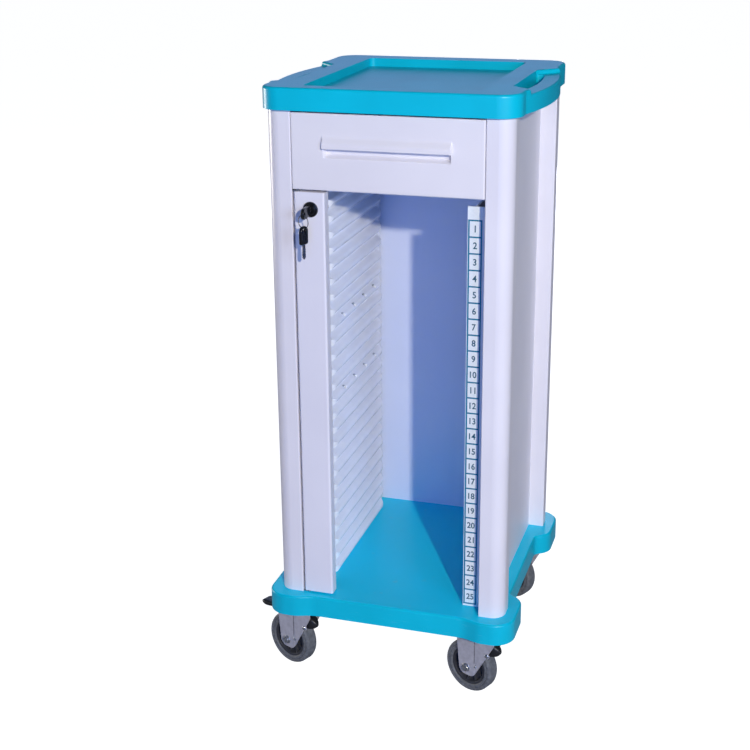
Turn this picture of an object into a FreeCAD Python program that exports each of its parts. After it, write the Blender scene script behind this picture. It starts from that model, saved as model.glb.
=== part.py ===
import FreeCAD, Part
import math
import os

os.makedirs("parts", exist_ok=True)

# Hospital chart rack on four swivel castors. Millimetres, +Z up, -Y is the open front.
# The origin is on the floor, under the middle of the four corner posts.

# ---- cabinet ----
width = 416.0                # over the outer sides of the posts
depth = 430.0                # over the front and rear of the posts
post_length = 878.0
post_width = 44.6            # along X
post_depth = 46.0            # along Y
post_round = 24.0            # outer corner of the extrusion
post_edge_round = 2.0        # its three other corners
post_wall = 2.5
port_radius = 6.0            # screw port inside the extrusion
sheet = 1.2                  # steel panels
side_recess = 29.2           # side panel behind the outer side of the posts
back_recess = 1.8
panel_flange = 12.0          # folded edge of a panel
fit_gap = 0.3                # between a screw and its hole, and round loose curved faces

# ---- base ----
skirt_height = 39.0
skirt_wall = 3.5
deck = 4.0
skirt_cover = 3.0            # how far the skirt hangs below the castor plates
front_overhang = 15.3        # front and rear edge beyond the posts
waist_inset = 6.5            # side edge inside the posts
lobe_side = 20.0             # corner bumper beyond the posts, sideways
lobe_front = 25.7            # and forwards
lobe_round = 38.0
lobe_run_front = 52.0        # bumper's length along the front, to the middle of its slope
lobe_slope_front = 30.0      # length of that slope
lobe_blend_front = 45.0      # radius at both ends of the slope
lobe_run_side = 96.0         # the same along the side, where the bumper ends in a round shoulder
lobe_slope_side = 16.0
lobe_shoulder = 32.0
lobe_hollow = 12.0
deck_round = 4.0
frame_wall = 2.0
frame_side_run = 49.0        # width of the frame's side member
frame_cross_run = 60.0       # width of its front and rear member
frame_inset = 13.0           # its outer side inside the posts
frame_end_inset = 5.0
pad_thick = 4.0
post_screw = 3.0             # radius of the screws in the post ports
post_screw_grip = 22.0       # their length inside the post
post_screw_head = 10.0       # across the flats
post_screw_head_thick = 4.0

# ---- castors ----
wheel_radius = 50.0
tyre_width = 27.0
tyre_depth = 14.0
tyre_round = 8.0
hub_rim = 4.5
hub_boss = 11.0
hub_web = 6.0
spokes = 5
spoke_hole = 6.5
axle_radius = 4.0
running_gap = 0.06           # radial, shaft in its bore
side_play = 0.6              # hub end to fork
wheel_clear = 22.0           # tyre to the fork's crown
castor_trail = 33.0
castor_turn = -24.0          # degrees about +Z, as the castors stand at rest
castor_inset_x = 34.6        # swivel axis inside the posts' outer side
castor_inset_y = 33.6
plate_x = 78.0
plate_y = 54.0
plate_thick = 3.0
plate_round = 6.0
plate_holes_x = 60.0
plate_holes_y = 38.0
plate_bolt = 4.0
bolt_head = 13.0             # across the flats, also of the axle
bolt_head_thick = 5.0
bolt_nut_thick = 6.5
race_radius = 25.0
race_depth = 12.0
race_round = 3.0
race_gap = 0.5
fork_thick = 2.5
crown_radius = 29.0
kingpin_radius = 6.0
kingpin_head = 9.0
kingpin_head_thick = 3.0
fork_back = 24.0             # cheek's rear edge behind the axle at the crown
fork_front = 27.0            # cheek's front edge ahead of the swivel axis
fork_toe = 14.5              # cheek beyond the axle, at the bottom
cheek_foot = 8.0             # upright part of the cheek's front edge
brake_pin_clear = 9.9        # brake pin's axis from the tyre
brake_pin_angle = 41.3       # degrees, seen from the axle, above the level
brake_pin_radius = 2.4
brake_pin_rivet = 1.8        # riveted ends of the brake pin, thick and beyond it
brake_boss = 5.0             # pedal's boss, and the ear on the cheek that carries the pin
brake_width = 26.0
brake_clear = 4.6            # pedal above the tyre
brake_foot = 72.0            # pedal tip behind the axle
brake_foot_drop = 5.0
brake_foot_start = 36.0      # where the pedal starts to drop, behind the axle
brake_hollow = 19.0          # ahead of the axle, where the arm runs down to its pin
brake_nose = 20.0            # release lobe ahead of the pin
brake_nose_drop = 15.0       # its lower edge below the arm
brake_thick = 6.0
cheek_step = 0.6             # front part of the cheek is pressed in by this
cheek_step_ahead = 18.0      # and starts ahead of the axle by this

# ---- top cap ----
cap_height = 37.0
cap_front = 9.5              # beyond the posts, front and rear
cap_side = 9.0               # corner blocks beyond the posts
cap_round = 36.0
cap_edge = 5.0               # rounding of the top edge
cap_wall = 3.5
tray_depth = 15.0
tray_rim = 38.0              # rim between the sunk tray and the hand slots
tray_front = 30.0            # rim in front of the tray
tray_back = 44.0             # rim behind it
tray_round = 10.0
handle_bulge = 20.0          # side handle beyond the corner blocks
handle_start = 45.0          # its front end, behind the posts' front
handle_end = 345.0
handle_bar = 28.0
handle_step = 8.0            # its top below the corner blocks
slot_side = 22.0             # straight side of the hand slot, inside the posts' outer side
slot_end = 53.0              # handle's end to the slot's end
slot_round = 5.0
step_round = 3.6             # top and foot of the step down to the handle
top_frame_height = 16.0
top_frame_run = 38.0
top_frame_front = 46.0       # front and rear runs
boss_radius = 6.0
boss_clear = 2.0             # boss beside the sunk tray
boss_depth = 12.0            # depth of the screw hole in it
boss_inset = 20.0            # boss behind the posts' front

# ---- drawer ----
drawer_height = 127.5
drawer_over = 3.5            # gap between the drawer front and the cap
drawer_gap = 0.6             # each side of the drawer front
drawer_front_thick = 18.0
drawer_edge = 2.5
drawer_wall = 2.5
drawer_box_drop = 20.5       # box below the top of the drawer front
drawer_box_height = 95.0
drawer_box_back = 55.0       # box in front of the rear posts' rear face
runner_width = 12.6          # each side, box to post
runner_height = 35.0
runner_wall = 1.6
runner_gap = 0.5
runner_setback = 20.0
grip_width = 220.0
grip_top_drop = 35.0         # hood's upper edge below the top of the drawer front
grip_height = 22.5
grip_proud = 7.0
grip_pocket = 16.5           # open part of the finger pocket, below the hood
grip_depth = 9.0
grip_wall = 2.6
grip_slope = 12.0            # height of the hood's sloping upper part

# ---- chart racks and number strip ----
slots = 25
pitch = 28.0
first_slot_drop = 41.5       # top of slot 1 below the bottom of the drawer front
rack_valley = 67.0           # rack's flat wall inside the post's outer side
ledge_depth = 16.0
ledge_tip = 6.5              # radius of a ledge's edge
ledge_root = 5.0             # radius of the groove between two ledges
rack_wall = 2.6
rack_back_spare = 0.4
rack_top_spare = 23.0        # rack above the top of slot 1
rack_left_front = 60.0       # front of each rack, behind the posts' front
ledge_left_lead = 12.0       # first ledge corner behind that
ledge_left_round = 30.0
rack_right_front = 32.0
ledge_right_lead = 3.0
ledge_right_round = 14.0
ledge_back = 398.0           # rear end of the ledges, behind the posts' front
ledge_back_round = 25.0
rack_rear_spare = 5.0
strip_width = 26.0
strip_proud = 12.5           # strip's inner edge beyond the rack's flat wall
strip_thick = 1.1
rail_width = 26.0
rail_height = 20.0
rail_rows = [8, 13]          # ledges that the rack rails lie behind, counted from the top
rack_screw_first = 154.0     # first rack screw behind the posts' front
rack_screw_step = 62.3
rack_screws_per_row = 4
rack_screw_rise = 5.6        # above the ledge's middle
small_screw = 2.0
small_head = 3.6
small_head_thick = 2.4
rack_boss = 4.8

# ---- locking door ----
door_width = 53.8
door_thick = 20.0
door_side_gap = 2.9          # door to post
door_top_gap = 3.5           # door to drawer front
door_foot_gap = 3.0
shelf_drop = 1.0             # shelf below the top of the door
door_wall = 2.0
door_round = 3.5
hinge_in = 6.0               # hinge axis inside the door's edge and face
hinge_pin = 2.5
hinge_leaf = 1.6
lock_side = 29.5             # lock axis from the door's hinge edge
lock_drop = 28.9             # lock axis below the top of the door
lock_flange = 13.2
lock_flange_thick = 3.0
lock_barrel = 9.5
lock_plug_radius = 6.5
lock_nut = 13.5
lock_nut_thick = 4.0
cam_gap = 1.5                # cam behind the end of the barrel
cam_thick = 2.5
cam_reach = 22.0             # sideways when unlocked, up behind the catch when locked
cam_width = 13.0
cam_round = 5.0
catch_drop = 12.0            # catch plate below the shelf, behind the door
catch_width = 53.0
catch_back = 2.0             # catch plate behind the door
bow_length = 31.0
bow_width = 20.0
bow_thick = 5.5
bow_stand = 8.0              # bow in front of the lock's flange
bow_hole = 3.4
bow_hole_in = 5.5            # hole from the bow's end
blade_length = 25.0
blade_socket = 8.0           # blade inside the bow
blade_width = 8.0
blade_thick = 2.2
ring_radius = 11.0
ring_wire = 0.8
ring_slack = 1.0             # left between ring and rim of a key's hole
ring_turn = -24.0            # degrees about +Z, ring and spare key as they hang
spare_turn = -18.0

# ---- levels and planes worked out from the sizes above ----
half_w = width / 2
half_d = depth / 2
plate_under = 2 * wheel_radius + wheel_clear + fork_thick + race_gap + race_depth
castor_height = plate_under + plate_thick
skirt_bottom = castor_height - skirt_cover
deck_top = skirt_bottom + skirt_height
frame_top = deck_top - deck
pad_bottom = castor_height
cap_bottom = deck_top + post_length
cap_top = cap_bottom + cap_height
tray_floor = cap_top - tray_depth
post_in_x = half_w - post_width
post_in_y = half_d - post_depth
port_x = post_in_x + post_wall + port_radius + 1.0
port_y = half_d - post_depth / 2
panel_out = half_w - side_recess
panel_in = panel_out - sheet
back_face = half_d - back_recess
swivel_x = half_w - castor_inset_x
swivel_y = half_d - castor_inset_y
drawer_top = cap_bottom - drawer_over
drawer_bottom = drawer_top - drawer_height
shelf_top = drawer_bottom - door_top_gap - shelf_drop
rack_top = drawer_bottom - first_slot_drop + rack_top_spare
slot_top = drawer_bottom - first_slot_drop
wall_x = half_w - rack_valley
rack_back_x = wall_x + rack_wall + rack_back_spare
door_left = -post_in_x + door_side_gap
door_right = door_left + door_width
door_back = -half_d + door_thick
door_top = drawer_bottom - door_top_gap
door_bottom = deck_top + door_foot_gap
hinge_x = door_left + hinge_in
hinge_y = -half_d + hinge_in
lock_x = door_left + lock_side
lock_z = door_top - lock_drop


def vec(x, y, z):
    return FreeCAD.Vector(x, y, z)


def box(x0, x1, y0, y1, z0, z1):
    return Part.makeBox(x1 - x0, y1 - y0, z1 - z0, vec(x0, y0, z0))


def rod(radius, start, end):
    axis = end.sub(start)
    return Part.makeCylinder(radius, axis.Length, start, axis)


def hexagon(across, start, end):
    """A hexagonal prism from start to end, across its flats."""
    axis = end.sub(start)
    side = axis.cross(vec(0, 0, 1))
    if side.Length < 1e-6:
        side = vec(1, 0, 0)
    side.normalize()
    turn = FreeCAD.Rotation(axis, 60)
    arm = side.multiply(across / math.sqrt(3))
    corners = []
    for corner in range(6):
        corners.append(start.add(arm))
        arm = turn.multVec(arm)
    corners.append(corners[0])
    return Part.Face(Part.makePolygon(corners)).extrude(axis)


def rounded_wire(corners, place):
    """A closed outline through (u, v, radius) corners, each rounded by an arc, put in space by place(u, v)."""
    count = len(corners)
    starts = []
    middles = []
    ends = []
    for index in range(count):
        u, v, radius = corners[index]
        before = corners[index - 1]
        after = corners[(index + 1) % count]
        back = FreeCAD.Vector(before[0] - u, before[1] - v, 0).normalize()
        ahead = FreeCAD.Vector(after[0] - u, after[1] - v, 0).normalize()
        here = FreeCAD.Vector(u, v, 0)
        half = back.getAngle(ahead) / 2
        if radius < 1e-6 or abs(half - math.pi / 2) < 1e-6:
            starts.append(here)
            middles.append(None)
            ends.append(here)
            continue
        reach = radius / math.tan(half)
        middle_way = back.add(ahead).normalize()
        starts.append(here.add(back * reach))
        middles.append(here.add(middle_way * (radius / math.sin(half) - radius)))
        ends.append(here.add(ahead * reach))
    edges = []
    for index in range(count):
        last = ends[index - 1]
        first = starts[index]
        if last.sub(first).Length > 1e-5:
            edges.append(Part.makeLine(place(last.x, last.y), place(first.x, first.y)))
        if middles[index] is not None:
            middle = middles[index]
            end = ends[index]
            arc = Part.Arc(place(first.x, first.y), place(middle.x, middle.y), place(end.x, end.y))
            edges.append(arc.toShape())
    return Part.Wire(edges)


def prism_z(corners, z0, z1):
    wire = rounded_wire(corners, lambda u, v: vec(u, v, z0))
    return Part.Face(wire).extrude(vec(0, 0, z1 - z0))


def prism_y(corners, y0, y1):
    """Corners are (x, z, radius)."""
    wire = rounded_wire(corners, lambda u, v: vec(u, y0, v))
    return Part.Face(wire).extrude(vec(0, y1 - y0, 0))


def prism_x(corners, x0, x1):
    """Corners are (y, z, radius)."""
    wire = rounded_wire(corners, lambda u, v: vec(x0, u, v))
    return Part.Face(wire).extrude(vec(x1 - x0, 0, 0))


def rectangle(x0, x1, y0, y1, radius):
    return [(x0, y0, radius), (x1, y0, radius), (x1, y1, radius), (x0, y1, radius)]


def four_fold(quarter):
    """Repeats the +X -Y quarter's corners, listed from the front to the side, over both mirror planes."""
    outline = list(quarter)
    for u, v, radius in reversed(quarter):
        outline.append((u, -v, radius))
    for u, v, radius in quarter:
        outline.append((-u, -v, radius))
    for u, v, radius in reversed(quarter):
        outline.append((-u, v, radius))
    return outline


def round_level(shape, level, radius):
    """Rounds every edge that lies in the plane z = level."""
    edges = []
    for edge in shape.Edges:
        bounds = edge.BoundBox
        if abs(bounds.ZMin - level) < 1e-4 and abs(bounds.ZMax - level) < 1e-4:
            edges.append(edge)
    return shape.makeFillet(radius, edges)


def mirror_x(shape):
    return shape.mirror(vec(0, 0, 0), vec(1, 0, 0))


def mirror_y(shape):
    return shape.mirror(vec(0, 0, 0), vec(0, 1, 0))


def corners_of(shape):
    """The shape of the front left corner, repeated at all four corners."""
    right = mirror_x(shape)
    return [shape, right, mirror_y(shape), mirror_y(right)]


def write(name, shape):
    shape.exportStep("parts/" + name + ".step")


# ---- corner posts: hollow quarter-round extrusions with a screw port ----
def post_front_left():
    x0 = -half_w
    y0 = -half_d
    x1 = x0 + post_width
    y1 = y0 + post_depth
    edge = post_edge_round
    wall = post_wall
    outer = [(x0, y0, post_round), (x1, y0, edge), (x1, y1, edge), (x0, y1, edge)]
    inner = [(x0 + wall, y0 + wall, post_round - wall), (x1 - wall, y0 + wall, 0),
             (x1 - wall, y1 - wall, 0), (x0 + wall, y1 - wall, 0)]
    shell = prism_z(outer, deck_top, cap_bottom).cut(prism_z(inner, deck_top, cap_bottom))
    low = vec(-port_x, -port_y, deck_top)
    high = vec(-port_x, -port_y, cap_bottom)
    rib = box(-port_x, x1 - wall, -port_y - wall / 2, -port_y + wall / 2, deck_top, cap_bottom)
    return shell.fuse(rib).fuse(rod(port_radius, low, high)).cut(rod(post_screw + fit_gap, low, high))


posts = corners_of(post_front_left())
write("post_front_left", posts[0])
write("post_front_right", posts[1])
write("post_rear_left", posts[2])
write("post_rear_right", posts[3])


# ---- side and back panels: folded sheet steel between the posts ----
def side_panel(side):
    outer = side * panel_out
    inner = side * panel_in
    web = box(min(outer, inner), max(outer, inner), -post_in_y, post_in_y, deck_top, cap_bottom)
    lip = inner - side * panel_flange
    for end in (-1, 1):
        face = end * post_in_y
        fold = face - end * sheet
        flange = box(min(lip, inner), max(lip, inner), min(face, fold), max(face, fold), deck_top, cap_bottom)
        web = web.fuse(flange)
    return web


write("side_panel_left", side_panel(-1))
write("side_panel_right", side_panel(1))

back_panel = box(-post_in_x, post_in_x, back_face - sheet, back_face, deck_top, cap_bottom)
for side in (-1, 1):
    face = side * post_in_x
    fold = face - side * sheet
    lip = box(min(face, fold), max(face, fold), back_face - panel_flange, back_face, deck_top, cap_bottom)
    back_panel = back_panel.fuse(lip)
write("back_panel", back_panel)


# ---- base: moulded tray with four corner bumpers, on a welded steel frame ----
def base_outline(inset):
    edge_y = half_d + front_overhang - inset
    bumper_y = half_d + lobe_front - inset
    edge_x = half_w - waist_inset - inset
    bumper_x = half_w + lobe_side - inset
    turn_x = half_w - lobe_run_front
    turn_y = half_d - lobe_run_side
    slope = lobe_slope_front / 2
    quarter = [(turn_x - slope, -edge_y, lobe_blend_front + inset),
               (turn_x + slope, -bumper_y, lobe_blend_front - inset),
               (bumper_x, -bumper_y, lobe_round - inset),
               (bumper_x, -turn_y - lobe_slope_side, lobe_shoulder - inset),
               (edge_x, -turn_y, lobe_hollow + inset)]
    return four_fold(quarter)


base_tray = round_level(prism_z(base_outline(0.0), skirt_bottom, deck_top), deck_top, deck_round)
base_tray = base_tray.cut(prism_z(base_outline(skirt_wall), skirt_bottom - 1.0, frame_top))
for x in (-port_x, port_x):
    for y in (-port_y, port_y):
        hole = rod(post_screw + fit_gap, vec(x, y, frame_top - 1.0), vec(x, y, deck_top + 1.0))
        base_tray = base_tray.cut(hole)
write("base_tray", base_tray)

ring_x = half_w - frame_inset
ring_y = half_d - frame_end_inset
ring_bottom = pad_bottom + pad_thick
base_frame = box(-ring_x, ring_x, -ring_y, ring_y, ring_bottom, frame_top)
window_x = ring_x - frame_side_run
window_y = ring_y - frame_cross_run
base_frame = base_frame.cut(box(-window_x, window_x, -window_y, window_y, ring_bottom, frame_top))
cavity_x = ring_x - frame_wall
cavity_y = ring_y - frame_wall
base_frame = base_frame.cut(box(-cavity_x, cavity_x, -cavity_y, cavity_y,
                                ring_bottom + frame_wall, frame_top - frame_wall))
pad = box(-swivel_x - plate_x / 2, -swivel_x + plate_x / 2,
          -swivel_y - plate_y / 2, -swivel_y + plate_y / 2, pad_bottom, ring_bottom)
for copy in corners_of(pad):
    base_frame = base_frame.fuse(copy)
for x in (-port_x, port_x):
    for y in (-port_y, port_y):
        hole = rod(post_screw + fit_gap, vec(x, y, frame_top - 2 * frame_wall), vec(x, y, frame_top + 1.0))
        base_frame = base_frame.cut(hole)


def plate_hole_places(cx, cy):
    places = []
    for step_x in (-0.5, 0.5):
        for step_y in (-0.5, 0.5):
            places.append((cx + step_x * plate_holes_x, cy + step_y * plate_holes_y))
    return places


castor_places = {"fl": (-swivel_x, -swivel_y), "fr": (swivel_x, -swivel_y),
                 "rl": (-swivel_x, swivel_y), "rr": (swivel_x, swivel_y)}
castor_bolts = []
for cx, cy in castor_places.values():
    for x, y in plate_hole_places(cx, cy):
        base_frame = base_frame.cut(rod(plate_bolt + fit_gap, vec(x, y, pad_bottom - 1.0),
                                        vec(x, y, ring_bottom + frame_wall + 1.0)))
        seat = ring_bottom
        if abs(x) < ring_x and abs(y) < ring_y:
            seat = ring_bottom + frame_wall
        nut_top = seat + bolt_nut_thick
        bolt = rod(plate_bolt, vec(x, y, plate_under), vec(x, y, nut_top + 2.5))
        bolt = bolt.fuse(hexagon(bolt_head, vec(x, y, plate_under - bolt_head_thick), vec(x, y, plate_under)))
        nut = hexagon(bolt_head, vec(x, y, seat), vec(x, y, nut_top))
        nut = nut.cut(rod(plate_bolt + running_gap, vec(x, y, seat - 1.0), vec(x, y, nut_top + 1.0)))
        castor_bolts.append(bolt)
        castor_bolts.append(nut)
write("base_frame", base_frame)
write("castor_bolts", Part.makeCompound(castor_bolts))

# ---- screws that hold the posts between the base frame and the top frame ----
post_screws = []
for x in (-port_x, port_x):
    for y in (-port_y, port_y):
        seat = frame_top - frame_wall
        low = rod(post_screw, vec(x, y, seat), vec(x, y, deck_top + post_screw_grip))
        head = hexagon(post_screw_head, vec(x, y, seat - post_screw_head_thick), vec(x, y, seat))
        post_screws.append(low.fuse(head))
        seat = cap_bottom + frame_wall
        high = rod(post_screw, vec(x, y, seat), vec(x, y, cap_bottom - post_screw_grip))
        head = hexagon(post_screw_head, vec(x, y, seat), vec(x, y, seat + post_screw_head_thick))
        post_screws.append(high.fuse(head))
write("post_screws", Part.makeCompound(post_screws))


# ---- castors, drawn about their own swivel axis with the wheel trailing towards -X ----
axle_z = wheel_radius
hub_half = tyre_width / 2 + 1.0
cheek_in = hub_half + side_play
cheek_out = cheek_in + fork_thick
race_bottom = plate_under - race_depth
crown_top = race_bottom - race_gap
crown_bottom = crown_top - fork_thick
pin_reach = wheel_radius + brake_pin_clear
pin_x = pin_reach * math.cos(math.radians(brake_pin_angle)) - castor_trail
pin_z = pin_reach * math.sin(math.radians(brake_pin_angle)) + axle_z
cheek_step_x = cheek_step_ahead - castor_trail


def castor_plate():
    """Top plate with the pressed upper race and the riveted kingpin."""
    outline = rectangle(-plate_x / 2, plate_x / 2, -plate_y / 2, plate_y / 2, plate_round)
    plate = prism_z(outline, plate_under, castor_height)
    for x, y in plate_hole_places(0, 0):
        hole = rod(plate_bolt + fit_gap, vec(x, y, plate_under - 1.0), vec(x, y, castor_height + 1.0))
        plate = plate.cut(hole)
    race = rod(race_radius, vec(0, 0, race_bottom), vec(0, 0, plate_under))
    race = round_level(race, race_bottom, race_round)
    head_top = crown_bottom - race_gap
    pin = rod(kingpin_radius, vec(0, 0, head_top), vec(0, 0, race_bottom))
    head = rod(kingpin_head, vec(0, 0, head_top - kingpin_head_thick), vec(0, 0, head_top))
    return plate.fuse(race).fuse(pin).fuse(head)


def castor_fork(braked):
    """Pressed steel fork: a round crown and two tapering cheeks. Braked ones have ears for the brake pin."""
    back = -castor_trail - fork_back
    crown = prism_z(rectangle(back, fork_front, -cheek_out, cheek_out, 3.0), crown_bottom, crown_top)
    crown = crown.fuse(rod(crown_radius, vec(0, 0, crown_bottom), vec(0, 0, crown_top)))
    bore = rod(kingpin_radius + running_gap, vec(0, 0, crown_bottom - 1.0), vec(0, 0, crown_top + 1.0))
    crown = crown.cut(bore)
    toe = axle_z - fork_toe
    outline = [(back, crown_top, 0), (-castor_trail - fork_toe, toe, fork_toe - 0.5),
               (-castor_trail + fork_toe + 1.0, toe, fork_toe - 2.0),
               (fork_front, crown_bottom - cheek_foot, 6.0),
               (fork_front, crown_top, 0)]
    for side in (-1, 1):
        cheek = prism_y(outline, side * cheek_in, side * cheek_out)
        if braked:
            ear = rod(brake_boss, vec(pin_x, side * cheek_in, pin_z), vec(pin_x, side * cheek_out, pin_z))
            cheek = cheek.fuse(ear)
        face = side * cheek_out
        pressed = side * (cheek_out - cheek_step)
        relief = box(cheek_step_x, fork_front + 1.0, min(face, pressed), max(face, pressed),
                     toe, crown_bottom - 1.5)
        cheek = cheek.cut(relief)
        crown = crown.fuse(cheek)
    far = cheek_out + 1.0
    axle_bore = axle_radius + running_gap
    crown = crown.cut(rod(axle_bore, vec(-castor_trail, -far, axle_z), vec(-castor_trail, far, axle_z)))
    if braked:
        crown = crown.cut(rod(brake_pin_radius + running_gap, vec(pin_x, -far, pin_z), vec(pin_x, far, pin_z)))
    return crown


def castor_axle():
    """Axle bolt with its head and nut."""
    x = -castor_trail
    near = -cheek_out - running_gap
    far = cheek_out + running_gap
    bolt = rod(axle_radius, vec(x, near, axle_z), vec(x, far + bolt_nut_thick + 1.0, axle_z))
    bolt = bolt.fuse(hexagon(bolt_head, vec(x, near - bolt_head_thick, axle_z), vec(x, near, axle_z)))
    nut = hexagon(bolt_head, vec(x, far, axle_z), vec(x, far + bolt_nut_thick, axle_z))
    return bolt.fuse(nut)


def brake_pin():
    far = cheek_out - cheek_step
    near = -far
    pin = rod(brake_pin_radius, vec(pin_x, near, pin_z), vec(pin_x, far, pin_z))
    for start, end in ((near - brake_pin_rivet, near), (far, far + brake_pin_rivet)):
        rivet = rod(brake_pin_radius + brake_pin_rivet, vec(pin_x, start, pin_z), vec(pin_x, end, pin_z))
        pin = pin.fuse(rivet)
    return pin


def revolve_about_axle(profile):
    """Turns a closed (y, radius) outline about the wheel's axle."""
    centre = vec(-castor_trail, 0, axle_z)
    wire = rounded_wire(profile, lambda u, v: vec(-castor_trail, u, axle_z + v))
    return Part.Face(wire).revolve(centre, vec(0, 1, 0), 360)


tyre_inner = wheel_radius - tyre_depth
rim_inner = tyre_inner - hub_rim


def castor_tyre():
    half = tyre_width / 2
    profile = [(-half + 2.0, tyre_inner, 0), (half - 2.0, tyre_inner, 0), (half, tyre_inner + 4.0, 2.0),
               (half, wheel_radius, tyre_round), (-half, wheel_radius, tyre_round),
               (-half, tyre_inner + 4.0, 2.0)]
    return revolve_about_axle(profile)


def castor_hub():
    rim_half = tyre_width / 2 - 3.0
    web = hub_web / 2
    bore = axle_radius + running_gap
    profile = [(-hub_half, bore, 0), (hub_half, bore, 0), (hub_half, hub_boss - 2.0, 0), (web, hub_boss, 0),
               (web, rim_inner, 0), (rim_half, rim_inner + 1.0, 0), (rim_half, tyre_inner, 0),
               (-rim_half, tyre_inner, 0), (-rim_half, rim_inner + 1.0, 0), (-web, rim_inner, 0),
               (-web, hub_boss, 0), (-hub_half, hub_boss - 2.0, 0)]
    hub = revolve_about_axle(profile)
    centre = vec(-castor_trail, 0, axle_z)
    ring = (hub_boss + rim_inner) / 2
    hole_z = axle_z + ring
    hole = rod(spoke_hole, vec(-castor_trail, -hub_half, hole_z), vec(-castor_trail, hub_half, hole_z))
    for spoke in range(spokes):
        cutter = hole.copy()
        cutter.rotate(centre, vec(0, 1, 0), 360.0 * spoke / spokes)
        hub = hub.cut(cutter)
    return hub


def castor_brake():
    """Rocking brake pedal: boss on the pin, arm over the tyre, the foot behind it and a release lobe ahead."""
    over = axle_z + wheel_radius + brake_clear
    top = over + brake_thick
    nose = pin_x + brake_nose
    tip = -castor_trail - brake_foot
    drop_start = -castor_trail - brake_foot_start
    outline = [(pin_x - brake_boss, pin_z - 1.0, 3.0), (-castor_trail + brake_hollow, over, 10.0),
               (drop_start, over, 12.0), (tip, over - brake_foot_drop, 2.0),
               (tip - 1.0, over - brake_foot_drop + brake_thick, 2.0), (drop_start + brake_thick, top, 20.0),
               (pin_x, top + 1.5, 30.0), (nose - brake_thick, top, 5.0), (nose, over - 1.0, 4.0),
               (nose - 3.0, over - brake_nose_drop, 6.0), (pin_x + brake_boss + 1.0, pin_z - 3.0, 3.0),
               (pin_x + 1.0, pin_z - brake_boss - 1.0, 4.0)]
    pedal = prism_y(outline, -brake_width / 2, brake_width / 2)
    far = brake_width / 2 + 1.0
    return pedal.cut(rod(brake_pin_radius + running_gap, vec(pin_x, -far, pin_z), vec(pin_x, far, pin_z)))


def place_castor(shape, cx, cy, turn):
    placed = shape.copy()
    placed.rotate(vec(0, 0, 0), vec(0, 0, 1), turn)
    placed.translate(vec(cx, cy, 0))
    return placed


for name, (cx, cy) in castor_places.items():
    braked = name in ("fl", "fr")
    pins = [castor_axle()]
    if braked:
        pins.append(brake_pin())
        write("castor_" + name + "_brake", place_castor(castor_brake(), cx, cy, castor_turn))
    write("castor_" + name + "_plate", place_castor(castor_plate(), cx, cy, 0.0))
    write("castor_" + name + "_fork", place_castor(castor_fork(braked), cx, cy, castor_turn))
    write("castor_" + name + "_pins", place_castor(Part.makeCompound(pins), cx, cy, castor_turn))
    write("castor_" + name + "_hub", place_castor(castor_hub(), cx, cy, castor_turn))
    write("castor_" + name + "_tyre", place_castor(castor_tyre(), cx, cy, castor_turn))


# ---- top cap: moulded, with a sunk tray and two side handles ----
handle_low = -half_d + handle_start
handle_high = -half_d + handle_end
handle_mid = (handle_low + handle_high) / 2
handle_half = (handle_high - handle_low) / 2
handle_radius = (handle_half ** 2 + handle_bulge ** 2) / (2 * handle_bulge)
block_x = half_w + cap_side
block_y = half_d + cap_front
slot_x = half_w - slot_side
tray_half = slot_x - tray_rim
slot_low = handle_low + slot_end
slot_high = handle_high - slot_end


def handle_arc(x_out, low, high, z0, z1, inner):
    """The part of a disc beyond x = inner, with its edge at x_out and between two Y planes."""
    radius = handle_radius - (block_x + handle_bulge - x_out)
    centre = vec(x_out - radius, handle_mid, z0)
    disc = Part.makeCylinder(radius, z1 - z0, centre, vec(0, 0, 1))
    return disc.common(box(inner, x_out + 1.0, low, high, z0, z1))


def slanted_edges(shape, level):
    """The straight edges in the plane z = level that run aslant in plan."""
    found = []
    for edge in shape.Edges:
        bounds = edge.BoundBox
        flat = abs(bounds.ZMin - level) < 1e-4 and abs(bounds.ZMax - level) < 1e-4
        aslant = min(bounds.XLength, bounds.YLength) > step_round
        if flat and aslant and isinstance(edge.Curve, Part.Line):
            found.append(edge)
    return found


top_cap = prism_z(rectangle(-block_x, block_x, -block_y, block_y, cap_round), cap_bottom, cap_top)
arc_out = block_x + handle_bulge
right_bulge = handle_arc(arc_out, handle_low, handle_high, cap_bottom, cap_top, block_x - 1.0)
top_cap = top_cap.fuse(right_bulge).fuse(mirror_x(right_bulge)).removeSplitter()
far_out = arc_out + 10.0
flare = far_out - slot_x
lowered = prism_z([(slot_x, slot_low, 0), (far_out, slot_low - flare, 0), (far_out, slot_high + flare, 0),
                   (slot_x, slot_high, 0)], cap_top - handle_step, cap_top + 1.0)
lowered = lowered.makeFillet(step_round, slanted_edges(lowered, cap_top - handle_step))
top_cap = round_level(top_cap, cap_top, cap_edge)
top_cap = top_cap.cut(lowered).cut(mirror_x(lowered))
top_cap = top_cap.makeFillet(step_round, slanted_edges(top_cap, cap_top))
slot = handle_arc(arc_out - handle_bar, slot_low, slot_high, cap_bottom - 1.0, cap_top + 1.0, slot_x)
upright = [edge for edge in slot.Edges if abs(edge.BoundBox.ZLength - (cap_height + 2.0)) < 1e-3
           and edge.BoundBox.XLength < 1e-3 and edge.BoundBox.YLength < 1e-3]
slot = slot.makeFillet(slot_round, upright)
top_cap = top_cap.cut(slot).cut(mirror_x(slot))
tray = rectangle(-tray_half, tray_half, -block_y + tray_front, block_y - tray_back, tray_round)
top_cap = top_cap.cut(prism_z(tray, tray_floor, cap_top + 1.0))
hollow_x = slot_x - cap_wall
hollow_y = block_y - cap_wall
hollow = prism_z(rectangle(-hollow_x, hollow_x, -hollow_y, hollow_y, 6.0), cap_bottom - 1.0, cap_top - cap_wall)
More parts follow.
